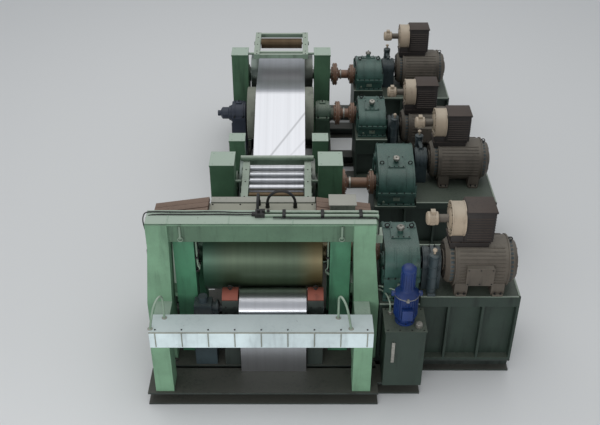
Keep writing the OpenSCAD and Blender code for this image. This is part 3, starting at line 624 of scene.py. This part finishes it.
# cap is the radius over a roll's bearing, and foot half the length of the bearing's foot
Roll = namedtuple("Roll", "body y z radius cap foot")
entry_roll = Roll("entry_roll_body", 3.7, 1.45, 0.45, 0.22, 0.30)
big_drum = Roll("big_drum_body", 1.9, 1.4, 0.55, 0.25, 0.34)
front_roll = Roll("front_roll_body", -0.85, 1.4, 0.45, 0.22, 0.30)
BRIDLE = (entry_roll, big_drum, front_roll)

# Bearings of the bridle rolls: end rings, breathers, webs and feet
BEARING_X, BEARING_END, WEB_X, FOOT_TOP = 0.88, 1.04, 1.02, 0.3
ROLL_COVER = [(0.12, 0), (0.15, 0), (0.15, 0.03), (0.12, 0.05), (0, 0.055)]
MEASURING_UNIT = [
    (0.12, 0), (0.155, 0), (0.155, 0.045), (0.125, 0.06), (0.125, 0.19), (0.1, 0.21),
    (0.06, 0.23), (0.06, 0.29), (0, 0.29),
]
castings, frame_bolts = bmesh.new(), bmesh.new()
for roll in BRIDLE:
    y, z = roll.y, roll.z
    cap_top = z + roll.cap + 0.02
    for s in SIDES:
        ring(castings, (s * BEARING_END, y, z), (s, 0, 0), 0.116, 0.168, 0.02)
        bolt_ring(frame_bolts, (s * (BEARING_END + 0.02), y, z), (s, 0, 0), 0.145, 10, 0.010, 0.2)
        slab(castings, (s * BEARING_X, y, cap_top - 0.016), (0.12, 0.12, 0.032), 0.005)
        disc(frame_bolts, (s * BEARING_X, y, cap_top), UP, 0.012, 0.035, sides=12)
        for t in SIDES:
            web = (s * WEB_X, y + t * 0.1, (FOOT_TOP + z - 0.19) / 2)
            slab(castings, web, (0.056, 0.024, z - 0.19 - FOOT_TOP))
            band = s * BEARING_X + t * 0.09 - 0.012
            arc_band(castings, (y, z), band, 0.024, roll.cap - 0.004, roll.cap + 0.016, 8, 164)
            for x in (s * 0.79, s * 0.97):
                foot_y = y + t * (roll.foot + 0.02)
                hex_bolt(frame_bolts, (x, y + t * (roll.cap + 0.026), z + 0.03), UP, 0.017, 0.03)
                slab(castings, (x, foot_y, (BED_TOP + FOOT_TOP) / 2), (0.07, 0.09, 0.05))
                hex_bolt(frame_bolts, (x, foot_y + t * 0.015, FOOT_TOP), UP, 0.018, 0.03)
for roll, cover in (
    (entry_roll, ROLL_COVER), (front_roll, ROLL_COVER), (big_drum, MEASURING_UNIT)
):
    turned(castings, (-BEARING_END - 0.005, roll.y, roll.z), LEFT, cover, 40)
bolt_ring(frame_bolts, (-1.09, big_drum.y, big_drum.z), LEFT, 0.14, 8, 0.008)
finished(castings, "bearing_castings", "bearing_paint")

# What turns with each roll: ribs in its end recesses and bolts on its spindle's flanges
RIBS, RIB_START, RIM = 10, 0.198, 0.072
for roll in BRIDLE:
    ribs = bmesh.new()
    for s in SIDES:
        x0, x1 = sorted((s * 0.632, s * 0.684))
        for k in range(RIBS):
            reach, angle = roll.radius - RIM, math.tau * k / RIBS
            spoke(ribs, (roll.y, roll.z), x0, x1, RIB_START, reach, 0.03, angle)
    finished(ribs, roll.body.replace("_body", "_ribs"), "dark_iron", roll.body)
for d in DRIVES:
    studs = bmesh.new()
    for x, way in ((d.spindle + 0.04, -1), (d.spindle + 0.123, 1)):
        bolt_ring(studs, (x, d.y, d.z), (way, 0, 0), 0.212, 14, 0.012, stem=0.008)
    bolt_ring(studs, (d.x - 0.15, d.y, d.z), LEFT, 0.184, 12, 0.012, stem=0.008)
    bolt_ring(studs, (d.x - 0.073, d.y, d.z), RIGHT, 0.184, 12, 0.010)
    ring(studs, (d.spindle + 0.2, d.y, d.z), RIGHT, 0.094, 0.112, 0.03)
    name = d.body.replace("_body", "_spindle_bolts")
    finished(studs, name, "bright_bolt", d.body)

# Reducers
BOSS, RIB_WIDE = 0.02, 0.024
BREATHER = [
    (0, 0), (0.052, 0), (0.062, 0.012), (0.062, 0.05), (0.05, 0.062), (0.018, 0.066),
    (0.012, 0.09), (0, 0.092),
]
drive_bolts, breathers, plates = bmesh.new(), bmesh.new(), bmesh.new()
for number, d in enumerate(DRIVES, 1):
    case_ribs = bmesh.new()
    s = d.side
    low_y, high_y = sorted((d.y - s * d.gear, d.y + s * (d.gap + d.pinion)))
    for k in range(5):
        x = d.x + 0.06 + (d.end - d.x - 0.12) * k / 4
        for y in (low_y - 0.022, high_y + 0.022):
            hex_bolt(drive_bolts, (x, y, d.z + 0.025), UP, 0.013, 0.015)
            hex_bolt(drive_bolts, (x, y, d.floor + 0.035), UP, 0.013, 0.015)
    for x in (d.x, d.end):
        for along in (0.085 - d.gear, 0.24, d.gap + d.pinion - 0.1):
            hex_bolt(drive_bolts, (x, d.y + s * along, d.z + 0.14), UP, 0.026, 0.035)
    for face, out in ((d.x - BOSS, -1), (d.end + BOSS, 1)):
        bolt_ring(drive_bolts, (face, d.y, d.z), (out, 0, 0), 0.160, 10, 0.009)
        bolt_ring(drive_bolts, (face, d.in_y, d.in_z), (out, 0, 0), 0.108, 8, 0.008)
        x0, x1 = sorted((face, face - out * 0.035))
        for along in (-0.62 * d.gear, 0.5 * (d.gap + 0.05), d.gap + 0.55 * d.pinion):
            y = d.y + s * along
            block(case_ribs, (x0, y - 0.011, d.floor + 0.03), (x1, y + 0.011, d.z - 0.03))
    disc(case_ribs, (d.end + BOSS, d.y, d.z), RIGHT, 0.145, 0.02, 0.006, 40)
    disc(case_ribs, (d.x - BOSS, d.in_y, d.in_z), LEFT, 0.096, 0.018, 0.006)
    for x in (d.x + 0.012, d.x + 0.14, d.end - 0.164, d.end - 0.036):
        for centre, radius, start, sweep in (
            ((d.y, d.z), d.gear, 90 - s * 2, s * 76),
            ((d.in_y, max(d.z, d.in_z)), d.pinion, 90 - s * 14, -s * 70),
        ):
            arc_band(case_ribs, centre, x, RIB_WIDE, radius - 0.006, radius + 0.012, start, sweep)
    square = (Matrix.Rotation(s * d.lean, 3, "X") @ UP).normalized()
    middle = (d.x + d.end) / 2
    for x in (-0.125, -0.04, 0.04, 0.125):
        for along in (0.03, 0.27):
            hex_bolt(drive_bolts, d.on_slope(middle + x, along, 0.02), square, 0.010)
    turned(breathers, d.on_slope(middle, 0.15, 0.078), square, BREATHER, 24)
    slab(plates, (middle, low_y - 0.005, d.z - 0.115), (0.12, 0.014, 0.07), 0.002)
    disc(plates, (d.x + 0.1, low_y, d.floor + 0.08), (0, -1, 0), 0.022, 0.03, sides=6)
    for x in (d.x + 0.075, d.end - 0.075):
        eye_bolt(drive_bolts, (x, d.y, d.z + d.gear - 0.004), 0.034)
    finished(case_ribs, f"reducer_{number}_ribs", "reducer_paint")

# Motors, their blowers and the brakes
END_COVER = [(0, 0), (0.17, 0), (0.17, 0.02), (0.14, 0.045), (0, 0.045)]
VENT_LONG = 0.054
BLOWER_X, BLOWER_LIFT = 0.035, 0.12
SCROLL = [
    (0, 0.014), (0.19, 0.014), (0.2, 0), (0.246, 0), (SCROLL_R, 0.014), (SCROLL_R, 0.196),
    (0.246, 0.21), (0, 0.21),
]
NECK_FLANGE = [(0, 0), (0.15, 0), (0.15, 0.02), (0.12, 0.034), (0, 0.034)]
NECK = [(0, 0), (0.07, 0), (0.062, 0.012), (0.062, 0.16), (0, 0.16)]
FAN_MOTOR = [
    (0, 0), (0.085, 0), (0.102, 0.012), (0.102, 0.05), (0.098, 0.054), (0.098, 0.13),
    (0.102, 0.134), (0.102, 0.16), (0.08, 0.178), (0.03, 0.182), (0, 0.182),
]
LIFTER_TOP = [(0, 0), (0.078, 0), (0.078, 0.02), (0.05, 0.04), (0.03, 0.045), (0, 0.045)]
LIFTER_KNOB = [
    (0, 0), (0.018, 0), (0.018, 0.05), (0.034, 0.052), (0.034, 0.075), (0.02, 0.09), (0, 0.09)
]
shells, hoods, scrolls, pale, dark_irons = (bmesh.new() for _ in range(5))


def dress_motor(d):
    """A motor's end bolts, end cover, ribs, vents, feet and terminal box."""
    x, y, z = d.motor, d.in_y, d.in_z
    bolt_ring(drive_bolts, (x, y, z), LEFT, 0.268, 12, 0.013)
    bolt_ring(drive_bolts, (x + MOTOR_L, y, z), RIGHT, 0.268, 12, 0.013)
    turned(shells, (x + MOTOR_L, y, z), RIGHT, END_COVER, 32)
    ring(shells, (x - 0.018, y, z), RIGHT, 0.075, 0.16, 0.018)
    skin, proud = MOTOR_R - 0.004, MOTOR_R + 0.012
    for along in (0.13, 0.935):
        ring(shells, (x + along, y, z), RIGHT, skin, proud, 0.022, 64)
    for degrees in range(-108, 109, 9):
        if abs(degrees) > 26:
            angle = math.radians(degrees)
            spoke(shells, (y, z), x + 0.2, x + 0.88, skin + 0.001, proud, 0.012, angle)
    for k in range(22):
        angle = math.radians(-115 + 230 * k / 21)
        for start in (x + 0.068, x + 0.956):
            low, high = MOTOR_R - 0.042, MOTOR_R - 0.036
            spoke(dark_irons, (y, z), start, start + VENT_LONG, low, high, 0.038, angle)
    for along in (0.095, 0.985):
        eye_bolt(drive_bolts, (x + along, y, z + MOTOR_R - 0.042), 0.032)
    for along in (0.16, 0.72):
        for t in SIDES:
            pad = (x + along + 0.1, y + t * 0.372, d.base + 0.02)
            slab(shells, pad, (0.16, 0.048, 0.04))
            for k in (0.055, 0.145):
                foot = (x + along + k, y + t * 0.378, d.base + 0.04)
                hex_bolt(drive_bolts, foot, UP, 0.015, 0.02)
    wall = y + d.side * (MOTOR_R + 0.06)
    lid = wall + d.side * 0.014
    y0, y1 = sorted((wall, lid))
    block(shells, (x + 0.29, y0, z - 0.15), (x + 0.71, y1, z + 0.17), 0.004)
    for along in (0.32, 0.5, 0.68):
        for rise in (-0.12, 0.14):
            hex_bolt(drive_bolts, (x + along, lid, z + rise), (0, d.side, 0), 0.009)
    for along in (0.4, 0.5, 0.6):
        gland = (x + along, wall - d.side * 0.04, z - 0.14)
        disc(drive_bolts, gland, (0, 0, -1), 0.024, 0.04, sides=6)


def dress_blower(d):
    """The blower on a motor: scroll, small motor on its neck and louvred hood."""
    x, y = d.motor + BLOWER_X, d.in_y
    z = d.in_z + MOTOR_R + SCROLL_R + BLOWER_LIFT
    turned(scrolls, (x, y, z), RIGHT, SCROLL, 72)
    for along in (0.0, 0.192):
        ring(scrolls, (x + along, y, z), RIGHT, SCROLL_R - 0.02, SCROLL_R + 0.008, 0.018, 72)
    bolt_ring(drive_bolts, (x, y, z), LEFT, SCROLL_R - 0.028, 12, 0.008)
    turned(scrolls, (x + 0.014, y, z), LEFT, NECK_FLANGE, 32)
    turned(shells, (x - 0.02, y, z), LEFT, NECK, 28)
    turned(pale, (x - 0.17, y, z), LEFT, FAN_MOTOR, 36)
    for k in range(20):
        angle = math.tau * k / 20
        spoke(pale, (y, z), x - 0.296, x - 0.226, 0.096, 0.106, 0.005, angle)
    block(pale, (x - 0.29, y - 0.045, z + 0.09), (x - 0.22, y + 0.045, z + 0.14), 0.004)
    # Hood, duct down to the motor, lid and foot flange
    for start, stop, half, low, high, edge in (
        (0.205, 0.645, 0.2, -0.3, 0.236, 0.01),
        (0.012, 0.6, 0.17, -0.44, -0.2, 0.006),
        (0.225, 0.66, 0.215, 0.216, 0.244, 0.004),
        (-0.004, 0.62, 0.19, -0.335, -0.318, STEEL_EDGE),
    ):
        block(hoods, (x + start, y - half, z + low), (x + stop, y + half, z + high), edge)
    for k in range(9):
        louvre = z - 0.2475 + 0.046 * k
        tilt = Matrix.Rotation(math.radians(38), 4, "Y")
        slab(hoods, (x + 0.649, y, louvre), (0.026, 0.33, 0.005), 0.001, tilt)
        for t in SIDES:
            tilt = Matrix.Rotation(math.radians(-38 * t), 4, "X")
            side = (x + 0.4275, y + t * 0.202, louvre)
            slab(hoods, side, (0.365, 0.026, 0.005), 0.001, tilt)
    for along in (0.03, 0.17, 0.31, 0.45, 0.59):
        for t in SIDES:
            hex_bolt(drive_bolts, (x + along, y + t * 0.18, z - 0.318), UP, 0.008)


def dress_brake(d):
    """Bands over a brake, and its lifter with rings and a pale knob."""
    y, z = d.in_y, d.in_z
    start, stop = d.end + 0.05, d.motor - 0.05
    x, lifter_y = (start + stop) / 2, y + d.side * 0.31
    for band in (start + 0.02, x - 0.02, stop - 0.06):
        arc_band(dark_irons, (y, z), band, 0.04, 0.196, 0.212, -20, 220)
    turned(dark_irons, (x, lifter_y, z + 0.30), UP, LIFTER_TOP, 24)
    turned(pale, (x, lifter_y, z + 0.345), UP, LIFTER_KNOB, 20)
    for rise in (-0.3, -0.1, 0.1, 0.26):
        ring(dark_irons, (x, lifter_y, z + rise), UP, 0.066, 0.078, 0.018, 28)
    for t in SIDES:
        hex_bolt(drive_bolts, (x + t * 0.04, y, z + 0.25), UP, 0.014, 0.02)


def edge_base(d):
    """Pale strips round the edges of the two levels of a drive's base."""
    y0, y1 = sorted((d.y - d.side * (d.gear + 0.055), d.in_y + d.side * (MOTOR_R + 0.02)))
    step, stop, wide = d.end + 0.03, d.motor + MOTOR_L + 0.1, 0.03
    for x0, x1, ya, yb, top in (
        (d.x - 0.06, step, y0, y0 + wide, d.floor),
        (step, stop, y0, y0 + wide, d.base),
        (d.x - 0.06, step, y1 - wide, y1, d.floor),
        (step, stop, y1 - wide, y1, d.base),
        (stop - wide, stop, y0, y1, d.base),
    ):
        block(plates, (x0, ya, top - 0.004), (x1, yb, top + 0.008), 0.002)


for d in DRIVES:
    dress_motor(d)
    dress_blower(d)
    dress_brake(d)
    edge_base(d)
finished(shells, "motor_ribs", "motor_paint")
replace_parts(finished(hoods, "blower_hoods", "fan_paint"), "motor_blowers")
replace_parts(finished(scrolls, "blower_scrolls", "band_paint"), "motor_blowers")
finished(pale, "blower_motors", "band_paint")
finished(dark_irons, "brake_and_vent_irons", "brake_paint")
finished(breathers, "breather_caps", "bright_bolt")
finished(plates, "base_edges", "edge_paint")

# Pedestals, by inner and outer x, near and far y, and top: cap seams, foot gussets, anchor bolts
PEDESTALS = (
    (0.7165, 1.0615, 2.74, 3.14, 2.35),
    (0.73, 1.145, -1.8, -1.34, 2.35),
    (0.65, 0.945, -0.1, 0.2, 1.86),
)
PLATE_TOP = 0.28
welds = bmesh.new()
for inner, outer, y0, y1, top in PEDESTALS:
    for s in SIDES:
        x0, x1 = sorted((s * inner, s * outer))
        seam = (x0 - 0.002, y0 - 0.002, top - 0.034), (x1 + 0.002, y1 + 0.002, top - 0.026)
        block(welds, *seam, 0.002)
        for y, t in ((y0, -1), (y1, 1)):
            for x in (x0 + 0.07, x1 - 0.07):
                slab(welds, (x, y + t * 0.016, 0.359), (0.016, 0.032, 0.162))
                on_rail = s * max(RAIL_IN, min(RAIL_OUT, abs(x)))
                hex_bolt(frame_bolts, (on_rail, y + t * 0.016, PLATE_TOP), UP, 0.010)
        for y in (y0 + 0.05, y1 - 0.05):
            for x in (x0 + 0.05, x1 - 0.05):
                disc(welds, (x, y, top), UP, 0.012, 0.004, sides=16)

# Guide frames: bearing covers at the rollers' pins, bolts on the side bars
SLOPE, FRONT_GUIDE_LONG = math.radians(9), 1.08
GUIDE_END = (-1.0, 2.02)
REAR_PIN = (3.49, 2.295)


def on_front_guide(share, rise):
    """The y and z of a place at this share of the front guide's length, rise above its top."""
    along = -FRONT_GUIDE_LONG * share
    y = GUIDE_END[0] + along * math.cos(SLOPE) - rise * math.sin(SLOPE)
    return y, GUIDE_END[1] + along * math.sin(SLOPE) + rise * math.cos(SLOPE)


covers = bmesh.new()
square = Vector((0, -math.sin(SLOPE), math.cos(SLOPE)))
for s in SIDES:
    for share in (0.21, 0.375, 0.52, 0.7, 0.875):
        pin = on_front_guide(share, -0.055)
        disc(covers, (s * 0.61, *pin), (s, 0, 0), 0.036, 0.014, sides=24)
        bolt_ring(frame_bolts, (s * 0.624, *pin), (s, 0, 0), 0.024, 4, 0.005)
    disc(covers, (s * 0.585, *REAR_PIN), (s, 0, 0), 0.045, 0.016, sides=24)
    bolt_ring(frame_bolts, (s * 0.601, *REAR_PIN), (s, 0, 0), 0.031, 4, 0.006)
    for share in (0.03, 0.3, 0.6, 0.96):
        hex_bolt(frame_bolts, (s * 0.55, *on_front_guide(share, 0.0)), square, 0.010)
    for y in (2.815, 2.945, 3.3, 3.68, 3.93):
        hex_bolt(frame_bolts, (s * 0.525, y, 2.35), UP, 0.010)
finished(covers, "guide_bearing_covers", "frame_paint")

# Work stand: weld seams and foot plates
POST_WIDE = 0.32
stand_left, stand_right = STAND_X - STAND_HALF, STAND_X + STAND_HALF
for x in (stand_left + POST_WIDE, stand_right - POST_WIDE, -0.62, 0.31):
    block(welds, (x - 0.007, STAND_FRONT + 0.002, 2.906), (x + 0.007, BEAM_BACK - 0.002, 2.915))
for x in (stand_left + POST_WIDE, stand_right - POST_WIDE):
    block(welds, (x - 0.008, STAND_FRONT + 0.032, 2.56), (x + 0.008, STAND_FRONT + 0.044, 2.88))
for y in (STAND_FRONT - 0.003, BEAM_BACK - 0.004):
    block(welds, (stand_left + 0.004, y, 2.872), (stand_right - 0.004, y + 0.007, 2.884))
feet = bmesh.new()
for s in SIDES:
    for y, flare, inwards in ((STAND_FRONT, 0.1, 0.28), (-2.96, 0.0, POST_WIDE)):
        reach = (STAND_HALF + flare, STAND_HALF - inwards)
        x0, x1 = sorted(STAND_X + s * half for half in reach)
        block(feet, (x0, y - 0.05, BED_TOP), (x1, y, PLATE_TOP), 0.004)
        for x in (x0 + 0.06, x1 - 0.06):
            hex_bolt(frame_bolts, (x, y - 0.026, PLATE_TOP), UP, 0.017, 0.03)
        for x in (x0 + 0.1, (x0 + x1) / 2, x1 - 0.1):
            block(feet, (x - 0.01, y - 0.045, PLATE_TOP), (x + 0.01, y + 0.002, 0.42))
    # Keeper plate and lifting eye of the pass-line roll's chock
    x0, x1 = sorted((s * 0.53, s * 0.77))
    face = PASS_Y - 0.168
    keeper = (x0 - 0.004, face, PASS_Z - 0.16), (x1 + 0.004, face + 0.02, PASS_Z + 0.27)
    block(feet, *keeper, 0.004)
    for across in (0.05, 0.19):
        for rise in (-0.1, 0.03, 0.15):
            hex_bolt(frame_bolts, (x0 + across, face, PASS_Z + rise), (0, -1, 0), 0.013)
    eye_bolt(frame_bolts, (s * 0.65, PASS_Y, PASS_Z + 0.368), 0.03)
finished(feet, "stand_foot_plates", "bed_paint")

# Clamps of the beam's conduits and of the housings' pipes, with the pipes
clamps = bmesh.new()
for x in (0.18, 0.74, 1.3):
    block(clamps, (x - 0.025, -4.185, 2.908), (x + 0.025, -4.025, 2.962), 0.006)
for x in (-0.19, -0.12, -0.05):
    disc(clamps, (x, -4.105, 2.97), UP, 0.022, 0.03, sides=6)
block(clamps, (stand_right + 0.104, -4.19, 2.5), (stand_right + 0.122, -4.02, 2.6))
for x0, x1 in ((0.81, 0.865), (-1.175, -1.12)):
    for height in (2.42, 2.1, 1.86):
        block(clamps, (x0, -4.11, height), (x1, -3.9, height + 0.03), 0.004)
block(clamps, (stand_left - 0.04, -4.2, 2.2), (stand_left, -4.01, 2.34), 0.005)
finished(clamps, "pipe_clamps", "dark_iron")
runs = []
for k, y in enumerate((-4.08, -4.02, -3.96)):
    drop = 0.06 * k
    runs.append([
        (0.838, y, 2.559), (0.838, y, 2.3), (0.838, y, 2.0 - drop), (0.838, y, 1.9 - drop),
        (0.79, y, 1.86 - drop), (0.864, y, 1.8 - drop),
    ])
    if k < 2:
        runs.append([
            (-1.148, y, 2.559), (-1.148, y, 2.2), (-1.148, y, 1.95), (-1.1, y, 1.9),
            (-1.174, y, 1.84),
        ])
piping("housing_pipes", runs, 0.011, "frame_paint")

# Balance box: pale box on the right cover with its lid, plate, lip behind, end strips, bolts
trim = bmesh.new()
for low, high, edge in (
    ((0.86, -3.86, 2.66), (1.235, -3.6, 2.915), 0.012),
    ((0.84, -3.88, 2.915), (1.255, -3.58, 2.93), 0.004),
    ((-0.9, -3.97, 2.698), (-0.6, -3.8, 2.735), 0.006),
    ((-0.955, -3.452, 2.6), (0.645, -3.3, 2.7), 0.006),
):
    block(trim, low, high, edge)
for x in (-0.92, -0.5, -0.08, 0.34, 0.6):
    for y in (-3.93, -3.52):
        hex_bolt(frame_bolts, (x, y, BOX_TOP), UP, 0.011)
for x in (STAND_X - 0.81, STAND_X + 0.8):
    block(trim, (x, -3.97, 2.696), (x + 0.012, -3.5, 2.708))

# Front table: seams and bolts, and the bent grab rails on it
TABLE_TOP = 1.48
for k in range(9):
    x = STAND_X - 1.56 + 3.12 * k / 8
    hex_bolt(frame_bolts, (x, -5.0, TABLE_TOP), UP, 0.011)
    block(trim, (x - 0.008, -5.069, 1.2), (x + 0.008, -5.055, 1.47))
block(trim, (STAND_X - 1.65, -5.064, 1.462), (STAND_X + 1.65, -5.052, 1.484))
rails = []
for inner, outer in ((-1.61, -1.79), (0.985, 1.165)):
    back, front = Vector((inner, -4.737, TABLE_TOP)), Vector((outer, -4.977, TABLE_TOP))
    bends = ((0.28, 0), (0.41, 0), (0.46, 0.22), (0.36, 0.62), (0.16, 0.86))
    rails.append([
        back, *(back + UP * rise + (front - back) * share for rise, share in bends), front
    ])
    for foot in (back, front):
        disc(trim, foot, UP, 0.04, 0.008, sides=20)
tubes = piping("grab_rail_tubes", rails, 0.0175, "frame_paint")
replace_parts(tubes, "grab_rails")

# Thin lines along the beam's cap, down the left and right posts
BACK_LINE = [
    (-0.29, -4.07, 2.935), (-0.5, -4.07, 2.93), (-0.8, -4.03, 2.924), (-1.3, -4.05, 2.924),
    (-1.76, -4.03, 2.924), (-1.86, -4.05, 2.92), (-1.88, -4.14, 2.89), (-1.87, -4.2, 2.82),
    (-1.845, -4.16, 2.6), (-1.845, -4.12, 2.3),
]
FRONT_LINE = [
    (-0.29, -4.11, 2.93), (-0.45, -4.12, 2.924), (-0.75, -4.1, 2.922), (-1.2, -4.11, 2.922),
    (-1.72, -4.1, 2.922), (-1.835, -4.12, 2.9), (-1.84, -4.12, 2.82), (-1.842, -4.08, 2.5),
    (-1.842, -4.06, 2.3),
]
RIGHT_LINE = [
    (0.02, -4.2, 2.93), (0.3, -4.21, 2.925), (0.9, -4.2, 2.925), (1.45, -4.2, 2.925),
    (1.55, -4.2, 2.92), (1.57, -4.19, 2.8), (1.57, -4.18, 2.6),
]
piping("cap_lines", [BACK_LINE, FRONT_LINE, RIGHT_LINE], 0.009, "dark_iron")

# Sloping covers in planks, with battens, end lips and lugs, and bolts
COVER_START, COVER_END, COVER_DROP = 0.815, 1.645, 0.12
PLANK_WIDE, PLANK_STEP = 0.132, 0.137
COVER_LONG = math.hypot(COVER_END - COVER_START, COVER_DROP)
planks = bmesh.new()
for s in SIDES:
    fall = math.atan2(COVER_DROP, COVER_END - COVER_START)
    seat = Matrix.Translation((STAND_X + s * COVER_START, 0, 2.8))
    seat = seat @ Matrix.Rotation(s * fall, 4, "Y")
    x0, x1 = sorted((0, s * COVER_LONG))
    for k in range(3):
        y, rise = -3.858 + PLANK_STEP * k, 0.004 * (k % 2)
        low, high = (x0, y, rise - 0.062), (x1, y + PLANK_WIDE, rise)
        block(planks, low, high, 0.008, about=seat)
    for along in (0.1, 0.42, 0.76):
        x0, x1 = sorted((s * along, s * (along + 0.06)))
        block(planks, (x0, -3.852, -0.1), (x1, -3.46, -0.058), 0.004, about=seat)
    x0, x1 = sorted(STAND_X + s * along for along in (1.61, COVER_END))
    block(planks, (x0, -3.855, 2.5), (x1, -3.455, 2.655), 0.004)
    x0, x1 = sorted(STAND_X + s * along for along in (COVER_START, 0.915))
    block(planks, (x0, -3.98, 2.5), (x1, -3.862, 2.83), 0.006)
    block(planks, (x0, -3.5, 2.46), (x1, -3.46, 2.76), 0.006)
    for y in (-3.8, -3.66, -3.52):
        hex_bolt(frame_bolts, (STAND_X + s * 1.5, y, 2.532), (s * 0.23, 0, 0.97), 0.011)
boards = finished(planks, "cover_planks", "cover_paint")
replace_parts(boards, "sloping_covers")
finished(trim, "stand_trim", "trim_paint")

# Pump unit: body, fins, covers, tank bolts and fittings
PUMP_X, PUMP_Y, TANK_TOP = 1.99, -4.65, 1.37
PUMP_BODY = [
    (0, 0), (0.15, 0), (0.15, 0.025), (0.118, 0.04), (0.118, 0.1), (0.168, 0.12), (0.168, 0.5),
    (0.185, 0.505), (0.185, 0.54), (0.15, 0.56), (0.105, 0.6), (0.102, 0.62), (0.102, 0.95),
    (0.11, 0.955), (0.11, 0.985), (0.085, 1.015), (0.03, 1.03), (0, 1.03),
]
DIAL = [(0, 0), (0.036, 0), (0.036, 0.03), (0.02, 0.036), (0.02, 0.06), (0, 0.06)]
machine, fins, gauge = bmesh.new(), bmesh.new(), bmesh.new()
turned(machine, (PUMP_X, PUMP_Y, TANK_TOP), UP, PUMP_BODY, 56)
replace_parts(finished(machine, "pump_body", "pump_paint"), "pump_motor")
for count, thick, inner, outer, low, high in (
    (28, 0.007, 0.162, 0.18, 1.51, 1.85), (16, 0.006, 0.098, 0.112, 2.02, 2.3)
):
    for k in range(count):
        turn = Matrix.Translation((PUMP_X, PUMP_Y, 0))
        turn = turn @ Matrix.Rotation(math.tau * k / count, 4, "Z")
        block(fins, (-thick / 2, inner, low), (thick / 2, outer, high), 0.001, about=turn)
slab(fins, (PUMP_X, PUMP_Y - 0.205, 1.65), (0.16, 0.09, 0.18), 0.006)
for t in SIDES:
    slab(fins, (PUMP_X + t * 0.2, PUMP_Y, 1.89), (0.06, 0.06, 0.06), 0.005)
finished(fins, "pump_fins_and_covers", "pump_paint")
bolt_ring(drive_bolts, (PUMP_X, PUMP_Y, 1.395), UP, 0.135, 8, 0.011)
bolt_ring(drive_bolts, (PUMP_X, PUMP_Y, 1.91), UP, 0.168, 8, 0.010)
for x in (-0.27, -0.09, 0.09, 0.27):
    for y in (-0.24, 0.24):
        hex_bolt(drive_bolts, (PUMP_X + x, PUMP_Y + y, TANK_TOP), UP, 0.010)
turned(gauge, (PUMP_X, PUMP_Y - 0.155, 1.86), (0, -0.6, 0.8), DIAL, 6)
ring(gauge, (PUMP_X, PUMP_Y, 1.885), UP, 0.15, 0.188, 0.012)
slab(gauge, (PUMP_X - 0.175, PUMP_Y - 0.268, 0.95), (0.05, 0.02, 0.4), 0.004)
for x, y, radius, high, edge in ((0.2, -0.15, 0.055, 0.07, 0.01), (-0.2, 0.15, 0.04, 0.05, 0.008)):
    disc(gauge, (PUMP_X + x, PUMP_Y + y, TANK_TOP - 0.002), UP, radius, high, edge)
finished(gauge, "tank_gauge", "bright_bolt")
piping("pump_pipes", [
    [(2.16, -4.55, 1.365), (2.16, -4.55, 1.5), (2.16, -4.55, 1.62), (2.0, -4.36, 1.62),
     (1.8, -4.2, 1.62), (1.621, -4.15, 1.62)],
    [(1.78, -4.5, 1.365), (1.78, -4.5, 1.45), (1.78, -4.5, 1.53), (1.76, -4.3, 1.53),
     (1.7, -4.15, 1.53), (1.621, -4.12, 1.53)],
], 0.014, "frame_paint")

# Bed: holding-down bolts and web stiffeners
stiff = bmesh.new()
for s in SIDES:
    for k in range(17):
        y = -2.45 + 0.405 * k
        for x in (RAIL_IN, RAIL_OUT):
            hex_bolt(frame_bolts, (s * x, y, BED_TOP - 0.0005), UP, 0.013, 0.02)
        slab(stiff, (s * 0.9, y, 0.125), (0.38, 0.012, 0.194), 0.001)
finished(stiff, "bed_stiffeners", "bed_paint")
finished(welds, "weld_seams", "post_paint")
finished(frame_bolts, "frame_bolts", "dark_iron")
finished(drive_bolts, "drive_bolts", "dark_iron")

floor_mesh = bmesh.new()
bmesh.ops.create_grid(floor_mesh, x_segments=1, y_segments=1, size=60)
floor_data = bpy.data.meshes.new("floor")
floor_mesh.to_mesh(floor_data)
floor_mesh.free()
floor_data.materials.append(FINISH["floor_pale"])
floor = bpy.data.objects.new("floor", floor_data)
bpy.context.scene.collection.objects.link(floor)


def lamp(name, place, target, size, power, colour=(1, 1, 1)):
    """A soft rectangular lamp at place, aimed at target."""
    light = bpy.data.lights.new(name, "AREA")
    light.shape = "RECTANGLE"
    light.size, light.size_y = size
    light.energy = power
    light.color = colour
    holder = bpy.data.objects.new(name, light)
    bpy.context.scene.collection.objects.link(holder)
    holder.location = place
    aim = Vector(target) - Vector(place)
    holder.rotation_euler = aim.to_track_quat("-Z", "Y").to_euler()


lamp("roof_light", (0, 2, 15), (0, 0, 0), (16, 18), 900, (1.0, 0.99, 0.97))
lamp("front_light", (-5, -16, 5), (0, -2, 1.5), (12, 5), 440)
lamp("low_light", (-0.15, -12, 2.9), (-0.15, -3.6, 1.8), (9, 1.6), 150)
world = bpy.data.worlds.new("studio")
bpy.context.scene.world = world
world.use_nodes = True
sky = world.node_tree.nodes["Background"].inputs
sky["Color"].default_value = (0.88, 0.91, 0.95, 1)
sky["Strength"].default_value = 0.55
bpy.context.scene.view_settings.view_transform = "Standard"
